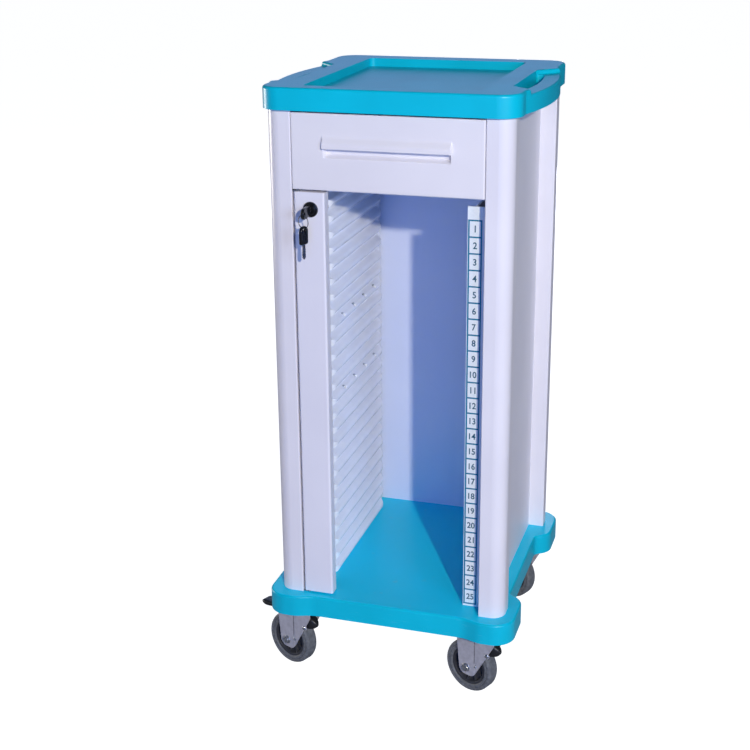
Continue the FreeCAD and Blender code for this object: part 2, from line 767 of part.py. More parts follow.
tub = rectangle(-tray_half - cap_wall, tray_half + cap_wall, -block_y + tray_front - cap_wall,
                block_y - tray_back + cap_wall, tray_round + cap_wall)
hollow = hollow.cut(prism_z(tub, tray_floor - cap_wall, cap_top))
top_cap = top_cap.cut(hollow)
top_frame_top = cap_bottom + top_frame_height
boss_x = tray_half + cap_wall + boss_radius + boss_clear
boss_y = half_d - boss_inset
cap_screws = []
for x in (-boss_x, boss_x):
    for y in (-boss_y, boss_y):
        hole_top = top_frame_top + boss_depth
        top_cap = top_cap.fuse(rod(boss_radius, vec(x, y, top_frame_top), vec(x, y, cap_top - cap_wall)))
        top_cap = top_cap.cut(rod(small_screw + fit_gap, vec(x, y, top_frame_top - 1.0), vec(x, y, hole_top)))
        seat = top_frame_top - frame_wall
        screw = rod(small_screw, vec(x, y, seat), vec(x, y, hole_top - 2.0))
        cap_screws.append(screw.fuse(rod(small_head, vec(x, y, seat - small_head_thick), vec(x, y, seat))))
write("top_cap", top_cap)
write("cap_screws", Part.makeCompound(cap_screws))

# ---- top frame: welded channel ring that ties the posts together under the cap ----
top_ring_x = hollow_x - 1.0
top_ring_y = half_d - 2.0
top_frame = box(-top_ring_x, top_ring_x, -top_ring_y, top_ring_y, cap_bottom, top_frame_top)
top_window_x = top_ring_x - top_frame_run
top_window_y = top_ring_y - top_frame_front
window = box(-top_window_x, top_window_x, -top_window_y, top_window_y, cap_bottom, top_frame_top)
inside_x = top_ring_x - frame_wall
inside_y = top_ring_y - frame_wall
cavity = box(-inside_x, inside_x, -inside_y, inside_y, cap_bottom + frame_wall, top_frame_top - frame_wall)
top_frame = top_frame.cut(window).cut(cavity)
for x in (-port_x, port_x):
    for y in (-port_y, port_y):
        hole_top = cap_bottom + frame_wall + 1.0
        top_frame = top_frame.cut(rod(post_screw + fit_gap, vec(x, y, cap_bottom - 1.0), vec(x, y, hole_top)))
for x in (-boss_x, boss_x):
    for y in (-boss_y, boss_y):
        top_frame = top_frame.cut(rod(small_screw + fit_gap, vec(x, y, top_frame_top - 2 * frame_wall),
                                      vec(x, y, top_frame_top + 1.0)))
write("top_frame", top_frame)

# ---- shelf under the drawer, notched round the posts, with the catch plate for the lock's cam ----
shelf_bottom = shelf_top - sheet
shelf_half = post_in_x - fit_gap
catch_face = door_back + catch_back
shelf_front = catch_face + 2 * sheet
shelf = box(-shelf_half, shelf_half, shelf_front, back_face - sheet, shelf_bottom, shelf_top)
flange_y = post_in_y - 2 * sheet
shelf = shelf.fuse(box(-panel_in, panel_in, -flange_y, flange_y, shelf_bottom, shelf_top))
shelf = shelf.fuse(box(-shelf_half, -shelf_half + catch_width, catch_face, shelf_front,
                       shelf_bottom, shelf_top))
for side in (-1, 1):
    face = side * panel_in
    fold = face - side * sheet
    flange = box(min(face, fold), max(face, fold), -flange_y, flange_y,
                 shelf_bottom, shelf_top + panel_flange)
    shelf = shelf.fuse(flange)
    notch_out = side * (post_in_x + 1.0)
    notch_in = side * (post_in_x - panel_flange)
    notch = box(min(notch_out, notch_in), max(notch_out, notch_in), back_face - panel_flange - 1.0,
                back_face, shelf_bottom - 1.0, shelf_top + 1.0)
    shelf = shelf.cut(notch)
catch = box(-shelf_half, -shelf_half + catch_width, catch_face, catch_face + sheet,
            shelf_bottom - catch_drop, shelf_bottom)
write("drawer_shelf", Part.makeCompound([shelf, catch]))

# ---- drawer: moulded front with a hooded grip, tray, and two-part runners ----
front_half = post_in_x - drawer_gap
front_back = -half_d + drawer_front_thick
drawer_front = box(-front_half, front_half, -half_d, front_back, drawer_bottom, drawer_top)
front_edges = [edge for edge in drawer_front.Edges if edge.BoundBox.YMax < -half_d + 1e-4]
drawer_front = drawer_front.makeFillet(drawer_edge, front_edges)
grip_top = drawer_top - grip_top_drop
grip_lip = grip_top - grip_height
hood_y = -half_d - grip_proud
hood = prism_x([(-half_d + 1.0, grip_top, 0), (-half_d + 1.0, grip_lip, 0), (hood_y, grip_lip, 1.0),
                (hood_y, grip_top - grip_slope + 4.0, 5.0), (-half_d, grip_top, 0)],
                -grip_width / 2, grip_width / 2)
pocket_y = -half_d + grip_depth
pocket = prism_x([(-half_d - 1.0, grip_lip - grip_pocket, 0), (pocket_y, grip_lip - grip_pocket + 7.0, 6.0),
                  (pocket_y, grip_top - grip_slope + 4.0, 5.0),
                  (hood_y + grip_wall, grip_top - grip_slope, 2.0),
                  (hood_y + grip_wall, grip_lip - 1.0, 0), (-half_d - 1.0, grip_lip - 1.0, 0)],
                 -grip_width / 2 + grip_wall, grip_width / 2 - grip_wall)
drawer_front = drawer_front.fuse(hood).cut(pocket)
write("drawer_front", drawer_front)

box_top = drawer_top - drawer_box_drop
box_bottom = box_top - drawer_box_height
box_half = post_in_x - runner_width
box_back = half_d - drawer_box_back
drawer_box = prism_z(rectangle(-box_half, box_half, front_back, box_back, 4.0), box_bottom, box_top)
inner_half = box_half - drawer_wall
inner = rectangle(-inner_half, inner_half, front_back + drawer_wall, box_back - drawer_wall, 3.0)
drawer_box = drawer_box.cut(prism_z(inner, box_bottom + drawer_wall, box_top + 1.0))
write("drawer_tray", drawer_box)

runner_z = (box_top + box_bottom) / 2
runner_low = runner_z - runner_height / 2
runner_high = runner_z + runner_height / 2
runner_front = -half_d + runner_setback
runner_back = half_d - runner_setback


def runner_outer(side):
    """Fixed C channel, screwed to the inner side of the posts."""
    x_post = side * post_in_x
    x_open = side * (post_in_x - runner_width + runner_wall + 2 * runner_gap)
    channel = box(min(x_post, x_open), max(x_post, x_open), runner_front, runner_back,
                  runner_low, runner_high)
    x_wall = x_post - side * runner_wall
    inside = x_open - side * 1.0
    cavity = box(min(x_wall, inside), max(x_wall, inside), runner_front - 1.0, runner_back + 1.0,
                 runner_low + runner_wall, runner_high - runner_wall)
    return channel.cut(cavity)


def runner_inner(side):
    """Sliding member, screwed to the drawer tray and riding inside the fixed channel."""
    x_box = side * box_half
    x_near = x_box + side * runner_wall
    x_far = side * (post_in_x - runner_wall - runner_gap)
    low = runner_low + runner_wall + runner_gap
    high = runner_high - runner_wall - runner_gap
    front = front_back + drawer_wall
    back = box_back - drawer_wall
    web = box(min(x_box, x_near), max(x_box, x_near), front, back, low, high)
    for start, end in ((low, low + runner_wall), (high - runner_wall, high)):
        web = web.fuse(box(min(x_box, x_far), max(x_box, x_far), front, back, start, end))
    return web


write("drawer_runners", Part.makeCompound([runner_outer(-1), runner_outer(1)]))
write("drawer_slides", Part.makeCompound([runner_inner(-1), runner_inner(1)]))


# ---- chart racks: moulded walls of rounded ledges, one below each numbered slot ----
def ledge_wave(tip, root, shift):
    """The (protrusion, height) line of all ledges, lowest first, with the arc radii of tip and root."""
    tip_centre = ledge_depth - ledge_tip
    radii = ledge_tip + ledge_root
    rise = pitch / 2
    level = ledge_depth - radii
    lean = math.acos(radii / math.hypot(rise, level)) - math.atan2(level, rise)
    sweep = math.pi / 2 - lean
    edges = []
    for number in range(slots, -1, -1):
        middle = slot_top - number * pitch

        def at(u, v):
            return vec(u, 0, middle + v)

        def root_point(angle, sign):
            return at(ledge_root - root * math.cos(angle), sign * (rise - root * math.sin(angle)))

        def tip_point(angle):
            return at(tip_centre + tip * math.cos(angle), tip * math.sin(angle))

        edges.append(Part.Arc(root_point(0, -1), root_point(sweep / 2, -1), root_point(sweep, -1)).toShape())
        edges.append(Part.makeLine(root_point(sweep, -1), tip_point(-sweep)))
        edges.append(Part.Arc(tip_point(-sweep), tip_point(0), tip_point(sweep)).toShape())
        edges.append(Part.makeLine(tip_point(sweep), root_point(sweep, 1)))
        edges.append(Part.Arc(root_point(sweep, 1), root_point(sweep / 2, 1), root_point(0, 1)).toShape())
    low = vec(shift, 0, slot_top - slots * pitch - rise)
    high = vec(shift, 0, slot_top + rise)
    back = -ledge_depth
    edges.append(Part.makeLine(high, vec(back, 0, high.z)))
    edges.append(Part.makeLine(vec(back, 0, high.z), vec(back, 0, low.z)))
    edges.append(Part.makeLine(vec(back, 0, low.z), low))
    return Part.Face(Part.Wire(edges))


def ledge_block(face, front, rear, front_round, rear_round, inset):
    """The wave carried along Y and rounded in plan at both ends, standing out towards +X from the wall at 0."""
    block = face.extrude(vec(0, rear - front, 0))
    block.translate(vec(0, front, 0))
    reach = ledge_depth - inset
    plan = [(reach - 40.0, front + inset, 0), (reach, front + inset, front_round - inset),
            (reach, rear - inset, rear_round - inset), (reach - 40.0, rear - inset, 0)]
    return block.common(prism_z(plan, deck_top + fit_gap, rack_top))


screw_rows = [slot_top - row * pitch + rack_screw_rise for row in rail_rows]
screw_places = [-half_d + rack_screw_first + step * rack_screw_step for step in range(rack_screws_per_row)]
screw_seat = ledge_depth / 2 + 1.0


def chart_rack(front, lead, front_round, return_x, labelled):
    """A rack on the left side of the bay, with x = 0 at its flat wall and the ledges towards +X."""
    rear = back_face - sheet - rack_rear_spare
    ledge_front = front + lead
    ledge_rear = -half_d + ledge_back
    back = -rack_wall - rack_back_spare
    wall = box(back, 0.0, front, rear, deck_top + fit_gap, rack_top)
    outer_wave = ledge_wave(ledge_tip, ledge_root, 0.0)
    inner_wave = ledge_wave(ledge_tip - rack_wall, ledge_root + rack_wall, -rack_wall)
    wave = ledge_block(outer_wave, ledge_front, ledge_rear, front_round, ledge_back_round, 0.0)
    core = ledge_block(inner_wave, ledge_front, ledge_rear, front_round, ledge_back_round, rack_wall)
    wave = wave.common(box(-rack_wall, ledge_depth + 1.0, ledge_front, ledge_rear, deck_top, rack_top))
    outside = wall.fuse(wave)
    rack = outside.cut(core)
    rack = rack.fuse(box(return_x, 0.0, front, front + rack_wall, deck_top + fit_gap, rack_top))
    flange_x = wall_x - post_in_x + sheet
    rack = rack.fuse(box(flange_x, 0.0, rear - rack_wall, rear, deck_top + fit_gap, rack_top))
    if labelled:
        backing_edge = strip_proud - strip_width
        backing = box(backing_edge, strip_proud, front, front + rack_wall, deck_top + fit_gap, rack_top)
        rack = rack.fuse(backing)
    for z in screw_rows:
        for y in screw_places:
            boss = rod(rack_boss, vec(back, y, z), vec(screw_seat, y, z)).common(outside)
            rack = rack.fuse(boss)
            rack = rack.cut(rod(small_screw + fit_gap, vec(back - 1.0, y, z), vec(screw_seat + 1.0, y, z)))
            rack = rack.cut(rod(small_head + fit_gap, vec(screw_seat, y, z), vec(ledge_depth + 1.0, y, z)))
    return rack


left_front = -half_d + rack_left_front
left_rack = chart_rack(left_front, ledge_left_lead, ledge_left_round, wall_x - panel_in, False)
left_rack.translate(vec(-wall_x, 0, 0))
write("chart_rack_left", left_rack)
strip_face = -half_d + rack_right_front
right_rack = chart_rack(strip_face, ledge_right_lead, ledge_right_round, wall_x - post_in_x, True)
right_rack.translate(vec(-wall_x, 0, 0))
write("chart_rack_right", mirror_x(right_rack))

strip_in = wall_x - strip_proud
write("number_strip", box(strip_in, strip_in + strip_width, strip_face - strip_thick, strip_face,
                          deck_top + 2 * fit_gap, rack_top))

# ---- rails behind the racks, between the side panels' flanges, and the rack screws ----
rail_x = rack_back_x
rail_rear = post_in_y - sheet
rails = []
rack_screws = []
for side, rail_front in ((-1, left_front + rack_wall), (1, -rail_rear)):
    for z in screw_rows:
        x0 = side * rail_x
        x1 = side * (rail_x + rail_width)
        rail = box(min(x0, x1), max(x0, x1), rail_front, rail_rear, z - rail_height / 2, z + rail_height / 2)
        wall = frame_wall
        rail = rail.cut(box(min(x0, x1) + wall, max(x0, x1) - wall, rail_front, rail_rear,
                            z - rail_height / 2 + wall, z + rail_height / 2 - wall))
        for y in screw_places:
            near = vec(side * (rail_x - 1.0), y, z)
            rail = rail.cut(rod(small_screw + fit_gap, near, vec(side * (rail_x + 2 * wall), y, z)))
            seat = side * (wall_x - screw_seat)
            screw = rod(small_screw, vec(seat, y, z), vec(side * (rail_x + 4 * wall), y, z))
            head = rod(small_head, vec(seat - side * small_head_thick, y, z), vec(seat, y, z))
            rack_screws.append(screw.fuse(head))
        rails.append(rail)
write("rack_rails", Part.makeCompound(rails))
write("rack_screws", Part.makeCompound(rack_screws))

# ---- locking door: narrow folded channel with end plates, hinged on two pins beside the left post ----
door = box(door_left, door_right, -half_d, door_back, door_bottom, door_top)
front_edges = [edge for edge in door.Edges if edge.BoundBox.YMax < -half_d + 1e-4]
door_edges = [edge for edge in front_edges if edge.BoundBox.ZLength > door_thick]
door = door.makeFillet(door_round, door_edges)
door_face_back = -half_d + door_wall
door = door.cut(box(door_left + door_wall, door_right - door_wall, door_face_back, door_back + 1.0,
                    door_bottom + door_wall, door_top - door_wall))
pin_bore = hinge_pin + running_gap
for low, high in ((door_bottom - 1.0, door_bottom + 6.0), (door_top - 6.0, door_top + 1.0)):
    door = door.cut(rod(pin_bore, vec(hinge_x, hinge_y, low), vec(hinge_x, hinge_y, high)))
lock_bore = lock_barrel + fit_gap
door = door.cut(rod(lock_bore, vec(lock_x, -half_d - 1.0, lock_z), vec(lock_x, door_face_back + 1.0, lock_z)))
write("locking_door", door)


def hinge_leaf_at(z_leaf, z_pin_start, z_pin_end):
    """A leaf fixed to the post's inner side, with the pin that the door turns on."""
    round_pin = hinge_pin + 2.0
    leaf = box(-post_in_x, hinge_x + round_pin, hinge_y - round_pin, hinge_y + 2 * hinge_in,
               z_leaf, z_leaf + hinge_leaf)
    return leaf.fuse(rod(hinge_pin, vec(hinge_x, hinge_y, z_pin_start), vec(hinge_x, hinge_y, z_pin_end)))


high_leaf = door_top + (door_top_gap - hinge_leaf) / 2
pins = [hinge_leaf_at(deck_top, deck_top, door_bottom + door_wall),
        hinge_leaf_at(high_leaf, high_leaf, door_top - door_wall)]
write("hinge_pins", Part.makeCompound(pins))

# ---- cam lock in the door, its key, the ring and the spare key ----
flange_y = -half_d - lock_flange_thick
barrel_end = door_back + 4.0
cam_y = barrel_end + cam_gap
barrel = rod(lock_flange, vec(lock_x, flange_y, lock_z), vec(lock_x, -half_d, lock_z))
barrel = barrel.makeFillet(1.2, [edge for edge in barrel.Edges if edge.BoundBox.YMax < flange_y + 1e-4])
barrel = barrel.fuse(rod(lock_barrel, vec(lock_x, -half_d, lock_z), vec(lock_x, barrel_end, lock_z)))
plug_bore = lock_plug_radius + running_gap
barrel = barrel.cut(rod(plug_bore, vec(lock_x, flange_y - 1.0, lock_z), vec(lock_x, barrel_end + 1.0, lock_z)))
write("lock_barrel", barrel)
nut_back = door_face_back + lock_nut_thick
nut = hexagon(2 * lock_nut, vec(lock_x, door_face_back, lock_z), vec(lock_x, nut_back, lock_z))
nut_bore = lock_barrel + running_gap
nut = nut.cut(rod(nut_bore, vec(lock_x, door_face_back - 1.0, lock_z), vec(lock_x, nut_back + 1.0, lock_z)))
write("lock_nut", nut)

plug = rod(lock_plug_radius, vec(lock_x, flange_y, lock_z), vec(lock_x, cam_y, lock_z))
keyway_end = flange_y - bow_stand + blade_length + fit_gap
keyway = box(lock_x - blade_thick / 2 - fit_gap, lock_x + blade_thick / 2 + fit_gap, flange_y - 1.0, keyway_end,
             lock_z - blade_width / 2 - fit_gap, lock_z + blade_width / 2 + fit_gap)
plug = plug.cut(keyway)
plug = plug.cut(rod(small_screw + fit_gap, vec(lock_x, cam_y - 6.0, lock_z), vec(lock_x, cam_y + 1.0, lock_z)))
write("lock_plug", plug)
cam_back = cam_y + cam_thick
cam_half = cam_width / 2
cam_outline = rectangle(lock_x - cam_half, lock_x + cam_reach, lock_z - cam_half, lock_z + cam_half, cam_round)
cam = prism_y(cam_outline, cam_y, cam_back)
cam_hole = rod(small_screw + fit_gap, vec(lock_x, cam_y - 1.0, lock_z), vec(lock_x, cam_back + 1.0, lock_z))
write("lock_cam", cam.cut(cam_hole))
cam_screw = rod(small_screw, vec(lock_x, cam_y - 5.0, lock_z), vec(lock_x, cam_back, lock_z))
head_back = cam_back + small_head_thick
cam_screw_head = rod(small_head, vec(lock_x, cam_back, lock_z), vec(lock_x, head_back, lock_z))
write("lock_cam_screw", cam_screw.fuse(cam_screw_head))


def key_bow(end_y, start_y, middle_z):
    """Moulded key head lying in the YZ plane, its hole near end_y."""
    half = bow_width / 2
    outline = [(end_y, middle_z - half, 7.0), (start_y, middle_z - half, 3.0), (start_y, middle_z + half, 3.0),
               (end_y, middle_z + half, 7.0)]
    return prism_x(outline, lock_x - bow_thick / 2, lock_x + bow_thick / 2)


bow_start = flange_y - bow_stand
bow_end = bow_start - bow_length
hole_y = bow_end + bow_hole_in
bow = key_bow(bow_end, bow_start, lock_z)
bow = bow.cut(rod(bow_hole, vec(lock_x - bow_thick, hole_y, lock_z), vec(lock_x + bow_thick, hole_y, lock_z)))
blade = box(lock_x - blade_thick / 2, lock_x + blade_thick / 2,
            bow_start - blade_socket, bow_start + blade_length,
            lock_z - blade_width / 2, lock_z + blade_width / 2)
bow = bow.cut(blade)
write("key_bow", bow)
write("key_blade", blade)

hang = bow_hole - ring_wire - ring_slack
ring_top = lock_z - hang
key_ring = Part.makeTorus(ring_radius, ring_wire, vec(lock_x, hole_y, ring_top - ring_radius), vec(0, 1, 0))
key_ring.rotate(vec(lock_x, hole_y, 0), vec(0, 0, 1), ring_turn)
write("key_ring", key_ring)


def hanging(shape):
    """Turns a key that points into the lock until it hangs from the ring's lowest point, blade down."""
    turned = shape.copy()
    turned.rotate(vec(lock_x, hole_y, lock_z), vec(1, 0, 0), -90)
    turned.rotate(vec(lock_x, hole_y, 0), vec(0, 0, 1), spare_turn)
    turned.translate(vec(0, 0, -2 * ring_radius - 2 * hang))
    return turned


write("spare_key_bow", hanging(bow))
write("spare_key_blade", hanging(blade))
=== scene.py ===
import math

import bpy
import numpy as np
from mathutils import Matrix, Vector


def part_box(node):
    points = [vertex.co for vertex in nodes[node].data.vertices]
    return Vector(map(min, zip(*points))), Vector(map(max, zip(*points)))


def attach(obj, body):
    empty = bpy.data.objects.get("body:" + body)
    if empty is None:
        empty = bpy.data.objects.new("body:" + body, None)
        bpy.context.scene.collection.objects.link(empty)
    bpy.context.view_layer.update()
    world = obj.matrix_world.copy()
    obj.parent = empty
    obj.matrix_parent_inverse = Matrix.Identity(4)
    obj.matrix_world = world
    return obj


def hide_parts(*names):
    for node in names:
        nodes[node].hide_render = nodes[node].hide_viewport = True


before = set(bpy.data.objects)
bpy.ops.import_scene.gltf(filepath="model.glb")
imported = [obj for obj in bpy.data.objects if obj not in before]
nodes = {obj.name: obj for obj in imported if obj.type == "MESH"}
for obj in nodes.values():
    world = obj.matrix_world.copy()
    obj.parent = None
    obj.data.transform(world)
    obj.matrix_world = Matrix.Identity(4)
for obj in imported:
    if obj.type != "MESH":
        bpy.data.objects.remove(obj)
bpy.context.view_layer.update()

# ---- studio floor ----
# A seamless sheet of matt paper under the trolley, wide enough to fill the view. The camera sees it glow nearly
# white. To every other ray it is a mid grey, so little light comes back up onto the trolley.


def linear(code):
    """An sRGB hex colour as linear RGBA: each channel is c/12.92 below 0.04045, else ((c+0.055)/1.055)^2.4."""
    channels = [int(code[i:i + 2], 16) / 255 for i in (1, 3, 5)]
    return tuple(c / 12.92 if c <= 0.04045 else ((c + 0.055) / 1.055) ** 2.4 for c in channels) + (1.0,)


def add(tree, kind, inputs=(), **settings):
    """Adds a shader node, sets its properties, and sets or links its inputs. A link is (node, output name)."""
    made = tree.nodes.new("ShaderNode" + kind)
    for name, value in settings.items():
        setattr(made, name, value)
    for socket, value in dict(inputs).items():
        if isinstance(value, tuple) and isinstance(value[0], bpy.types.Node):
            tree.links.new(value[0].outputs[value[1]], made.inputs[socket])
        else:
            made.inputs[socket].default_value = value
    return made


def new_material(name):
    """An empty node tree, and Object coordinates scaled to millimetres."""
    material = bpy.data.materials.new(name)
    material.use_nodes = True
    tree = material.node_tree
    tree.nodes.clear()
    place = add(tree, "TexCoord")
    mm = add(tree, "Mapping", {"Vector": (place, "Object"), "Scale": (1000, 1000, 1000)})
    return material, tree, mm


def noise(tree, mm, size, detail=2.0, stretch=(1, 1, 1), roughness=0.5):
    """Noise whose lumps are about size millimetres across, longer along an axis by its stretch."""
    scale = tuple(1 / (size * s) for s in stretch)
    place = add(tree, "Mapping", {"Vector": (mm, "Vector"), "Scale": scale})
    return add(tree, "TexNoise", {"Vector": (place, "Vector"), "Scale": 1.0, "Detail": detail,
                                  "Roughness": roughness})


def blend(tree, source, low, high, dark, light):
    """Colour from dark to light as source goes from low to high."""
    ramp = add(tree, "ValToRGB", {"Fac": source})
    ramp.color_ramp.elements[0].position = low
    ramp.color_ramp.elements[0].color = dark
    ramp.color_ramp.elements[1].position = high
    ramp.color_ramp.elements[1].color = light
    return ramp


def spread(tree, source, low, high, to_low, to_high):
    """Maps source from low..high to to_low..to_high, clamped."""
    return add(tree, "MapRange", {"Value": source, "From Min": low, "From Max": high,
                                  "To Min": to_low, "To Max": to_high})


def finish_shader(tree, colour, roughness, normal=None, **sockets):
    """The surface: colour and roughness are links, the rest are plain values on the shader's own sockets."""
    inputs = {"Base Color": colour, "Roughness": roughness}
    if normal is not None:
        inputs["Normal"] = normal
    inputs.update({name.replace("_", " "): value for name, value in sockets.items()})
    shader = add(tree, "BsdfPrincipled", inputs)
    add(tree, "OutputMaterial", {"Surface": (shader, "BSDF")})


def bump(tree, height, depth_mm, under=None):
    """A bump of depth_mm over the height signal, in metres for the shader, on top of another one if given."""
    inputs = {"Height": height, "Distance": depth_mm / 1000, "Strength": 1.0}
    if under is not None:
        inputs["Normal"] = (under, "Normal")
    return add(tree, "Bump", inputs)


# Matt background paper: fibres too fine to see, a faint unevenness 300 mm across. Its glow of 0.97 stays just under
# the backdrop's white.
paper, tree, mm = new_material("matt_background_paper")
cloud = noise(tree, mm, 300)
tone = blend(tree, (cloud, "Fac"), 0.3, 0.7, linear("#9A9BA0"), linear("#A2A3A8"))
ray = add(tree, "LightPath")
burn = add(tree, "Math", {0: (ray, "Is Camera Ray"), 1: 0.97}, operation="MULTIPLY")
finish_shader(tree, (tone, "Color"), 0.95, Specular_IOR_Level=0.1, Emission_Color=linear("#FFFFFF"),
              Emission_Strength=(burn, "Value"))


def mesh_piece(name, points, faces, material, smooth=True):
    """A new object at the origin from arrays of points in metres and faces."""
    mesh = bpy.data.meshes.new(name)
    mesh.from_pydata(np.asarray(points, float).tolist(), [], [list(map(int, f)) for f in faces])
    mesh.update()
    mesh.polygons.foreach_set("use_smooth", [smooth] * len(mesh.polygons))
    mesh.materials.append(material)
    made = bpy.data.objects.new(name, mesh)
    bpy.context.scene.collection.objects.link(made)
    return made


def sheet_faces(rows, columns, close_rows=False, close_columns=False):
    """Quads between neighbours of a rows x columns grid, joined round where closed."""
    r = np.arange(rows if close_rows else rows - 1)
    c = np.arange(columns if close_columns else columns - 1)
    a, b = np.meshgrid(r, c, indexing="ij")
    a2, b2 = (a + 1) % rows, (b + 1) % columns
    quads = np.stack([a * columns + b, a * columns + b2, a2 * columns + b2, a2 * columns + b], -1)
    return quads.reshape(-1, 4)


floor_half, floor_lines = 30.0, 25
floor_line = np.linspace(-floor_half, floor_half, floor_lines)
across, along = np.meshgrid(floor_line, floor_line, indexing="ij")
floor_points = np.stack([across, along, np.zeros_like(across)], -1).reshape(-1, 3)
studio_floor = mesh_piece("studio_floor", floor_points, sheet_faces(floor_lines, floor_lines)[:, ::-1], paper)

# ---- studio light and camera ----
# A small warm lamp to the right of the camera throws the crisp shadow into the bay. A wide blue one at bay height
# fills it, and one at the right lights the side. Two stand lower than the cap to light the back and the left, and
# one behind and above puts the blue sheen on the cap's top.


def lamp(name, place, target, size, watts, colour):
    """A square area lamp at place that points at target."""
    light = bpy.data.lights.new(name, "AREA")
    light.shape = "SQUARE"
    light.size = size
    light.energy = watts
    light.color = linear(colour)[:3]
    made = bpy.data.objects.new(name, light)
    bpy.context.scene.collection.objects.link(made)
    back = np.array(place, float) - np.array(target, float)
    back /= np.linalg.norm(back)
    side = np.cross((0.0, 0.0, 1.0), back)
    side /= np.linalg.norm(side)
    rise = np.cross(back, side)
    turn = Matrix((side, rise, back)).transposed().to_4x4()
    turn.translation = place
    made.matrix_world = turn


lamp("key_lamp", (2.226, -4.186, 2.48), (0, 0, 0.6), 0.12, 178, "#FFF4DC")
lamp("front_fill", (0.7, -4.6, 1.2), (0, 0, 0.55), 2.0, 54, "#6498FF")
lamp("right_fill", (3.3, -3.1, 1.8), (0, 0, 0.6), 1.4, 68, "#BED4FF")
lamp("back_soft", (-0.9, 4.6, 0.4), (0, 0, 0.5), 1.2, 130, "#F4F6FF")
lamp("left_soft", (-4.4, 0.9, 0.4), (0, 0, 0.5), 1.2, 100, "#FFF8F0")
lamp("back_sheen", (-1.6, 5.2, 2.6), (0, 0, 1.0), 2.8, 32, "#A1BCFF")

# The camera sees a plain white backdrop. Every other ray meets a dim blue sky.
sky = bpy.data.worlds.new("studio_sky")
bpy.context.scene.world = sky
sky.use_nodes = True
sky.node_tree.nodes.clear()
dusk = add(sky.node_tree, "Background", {"Color": linear("#A8C4FF"), "Strength": 0.12})
screen = add(sky.node_tree, "Background", {"Color": linear("#FFFFFF"), "Strength": 1.0})
seen = add(sky.node_tree, "LightPath")
backdrop = add(sky.node_tree, "MixShader", {0: (seen, "Is Camera Ray"), 1: (dusk, "Background"),
                                            2: (screen, "Background")})
add(sky.node_tree, "OutputWorld", {"Surface": (backdrop, "Shader")})
bpy.context.scene.view_settings.view_transform = "Standard"

lens = bpy.data.cameras.new("camera")
lens.sensor_width = 36.0
lens.lens = 65.5955
lens.shift_y = -0.035
lens.clip_end = 100.0
camera = bpy.data.objects.new("camera", lens)
bpy.context.scene.collection.objects.link(camera)
yaw, pitch, roll = 0.3024815, -0.3286038, -0.0098114
ahead = np.array([-math.sin(yaw) * math.cos(pitch), math.cos(yaw) * math.cos(pitch), math.sin(pitch)])
level = np.array([math.cos(yaw), math.sin(yaw), 0.0])
above = np.cross(level, ahead)
right = math.cos(roll) * level + math.sin(roll) * above
upward = -math.sin(roll) * level + math.cos(roll) * above
stance = Matrix((right, upward, -ahead)).transposed().to_4x4()
stance.translation = (0.62836, -2.2979, 1.40124)
camera.matrix_world = stance
bpy.context.scene.camera = camera

# ---- base frame and bolts ----
# A welded mild steel ring with castor pads, painted dark grey, under the base tray. Zinc-plated bolts hold the
# castors to it, and zinc-plated screws hold the posts, the racks and the cap.


def dress(names, material):
    """Gives CAD nodes their finish."""
    for name in names:
        for slot in nodes[name].material_slots:
            slot.material = material


# Painted mild steel: semi-matt grey enamel over mill scale, runs about 12 mm across.
frame_paint, tree, mm = new_material("grey_enamel_on_mild_steel")
patches = noise(tree, mm, 12, 3)
tone = blend(tree, (patches, "Fac"), 0.35, 0.65, linear("#4A4E55"), linear("#565B63"))
gloss = spread(tree, (patches, "Fac"), 0.3, 0.7, 0.45, 0.6)
peel = bump(tree, (noise(tree, mm, 2.0), "Fac"), 0.05)
finish_shader(tree, (tone, "Color"), (gloss, "Result"), (peel, "Normal"))

# Zinc plating: bright, slightly blue, with dull spots about 3 mm across where it has been handled.
zinc, tree, mm = new_material("zinc_plated_steel")
spots = noise(tree, mm, 3.0, 3)
tone = blend(tree, (spots, "Fac"), 0.35, 0.7, linear("#A9AEB5"), linear("#C9CDD2"))
gloss = spread(tree, (spots, "Fac"), 0.3, 0.7, 0.22, 0.42)
finish_shader(tree, (tone, "Color"), (gloss, "Result"), Metallic=1.0)

dress(["base_frame"], frame_paint)
dress(["castor_bolts", "post_screws", "cap_screws", "rack_screws", "lock_cam_screw"], zinc)

# ---- base ----
# The base is one injection-moulded ABS tray with a bumper at each corner. Its deck is the floor of the bay, so it
# carries the rub marks of what is set down there.

# ABS: saturated cyan all through, fine spark-eroded grain drawn at 0.9 mm so that it shows, soft flow marks.


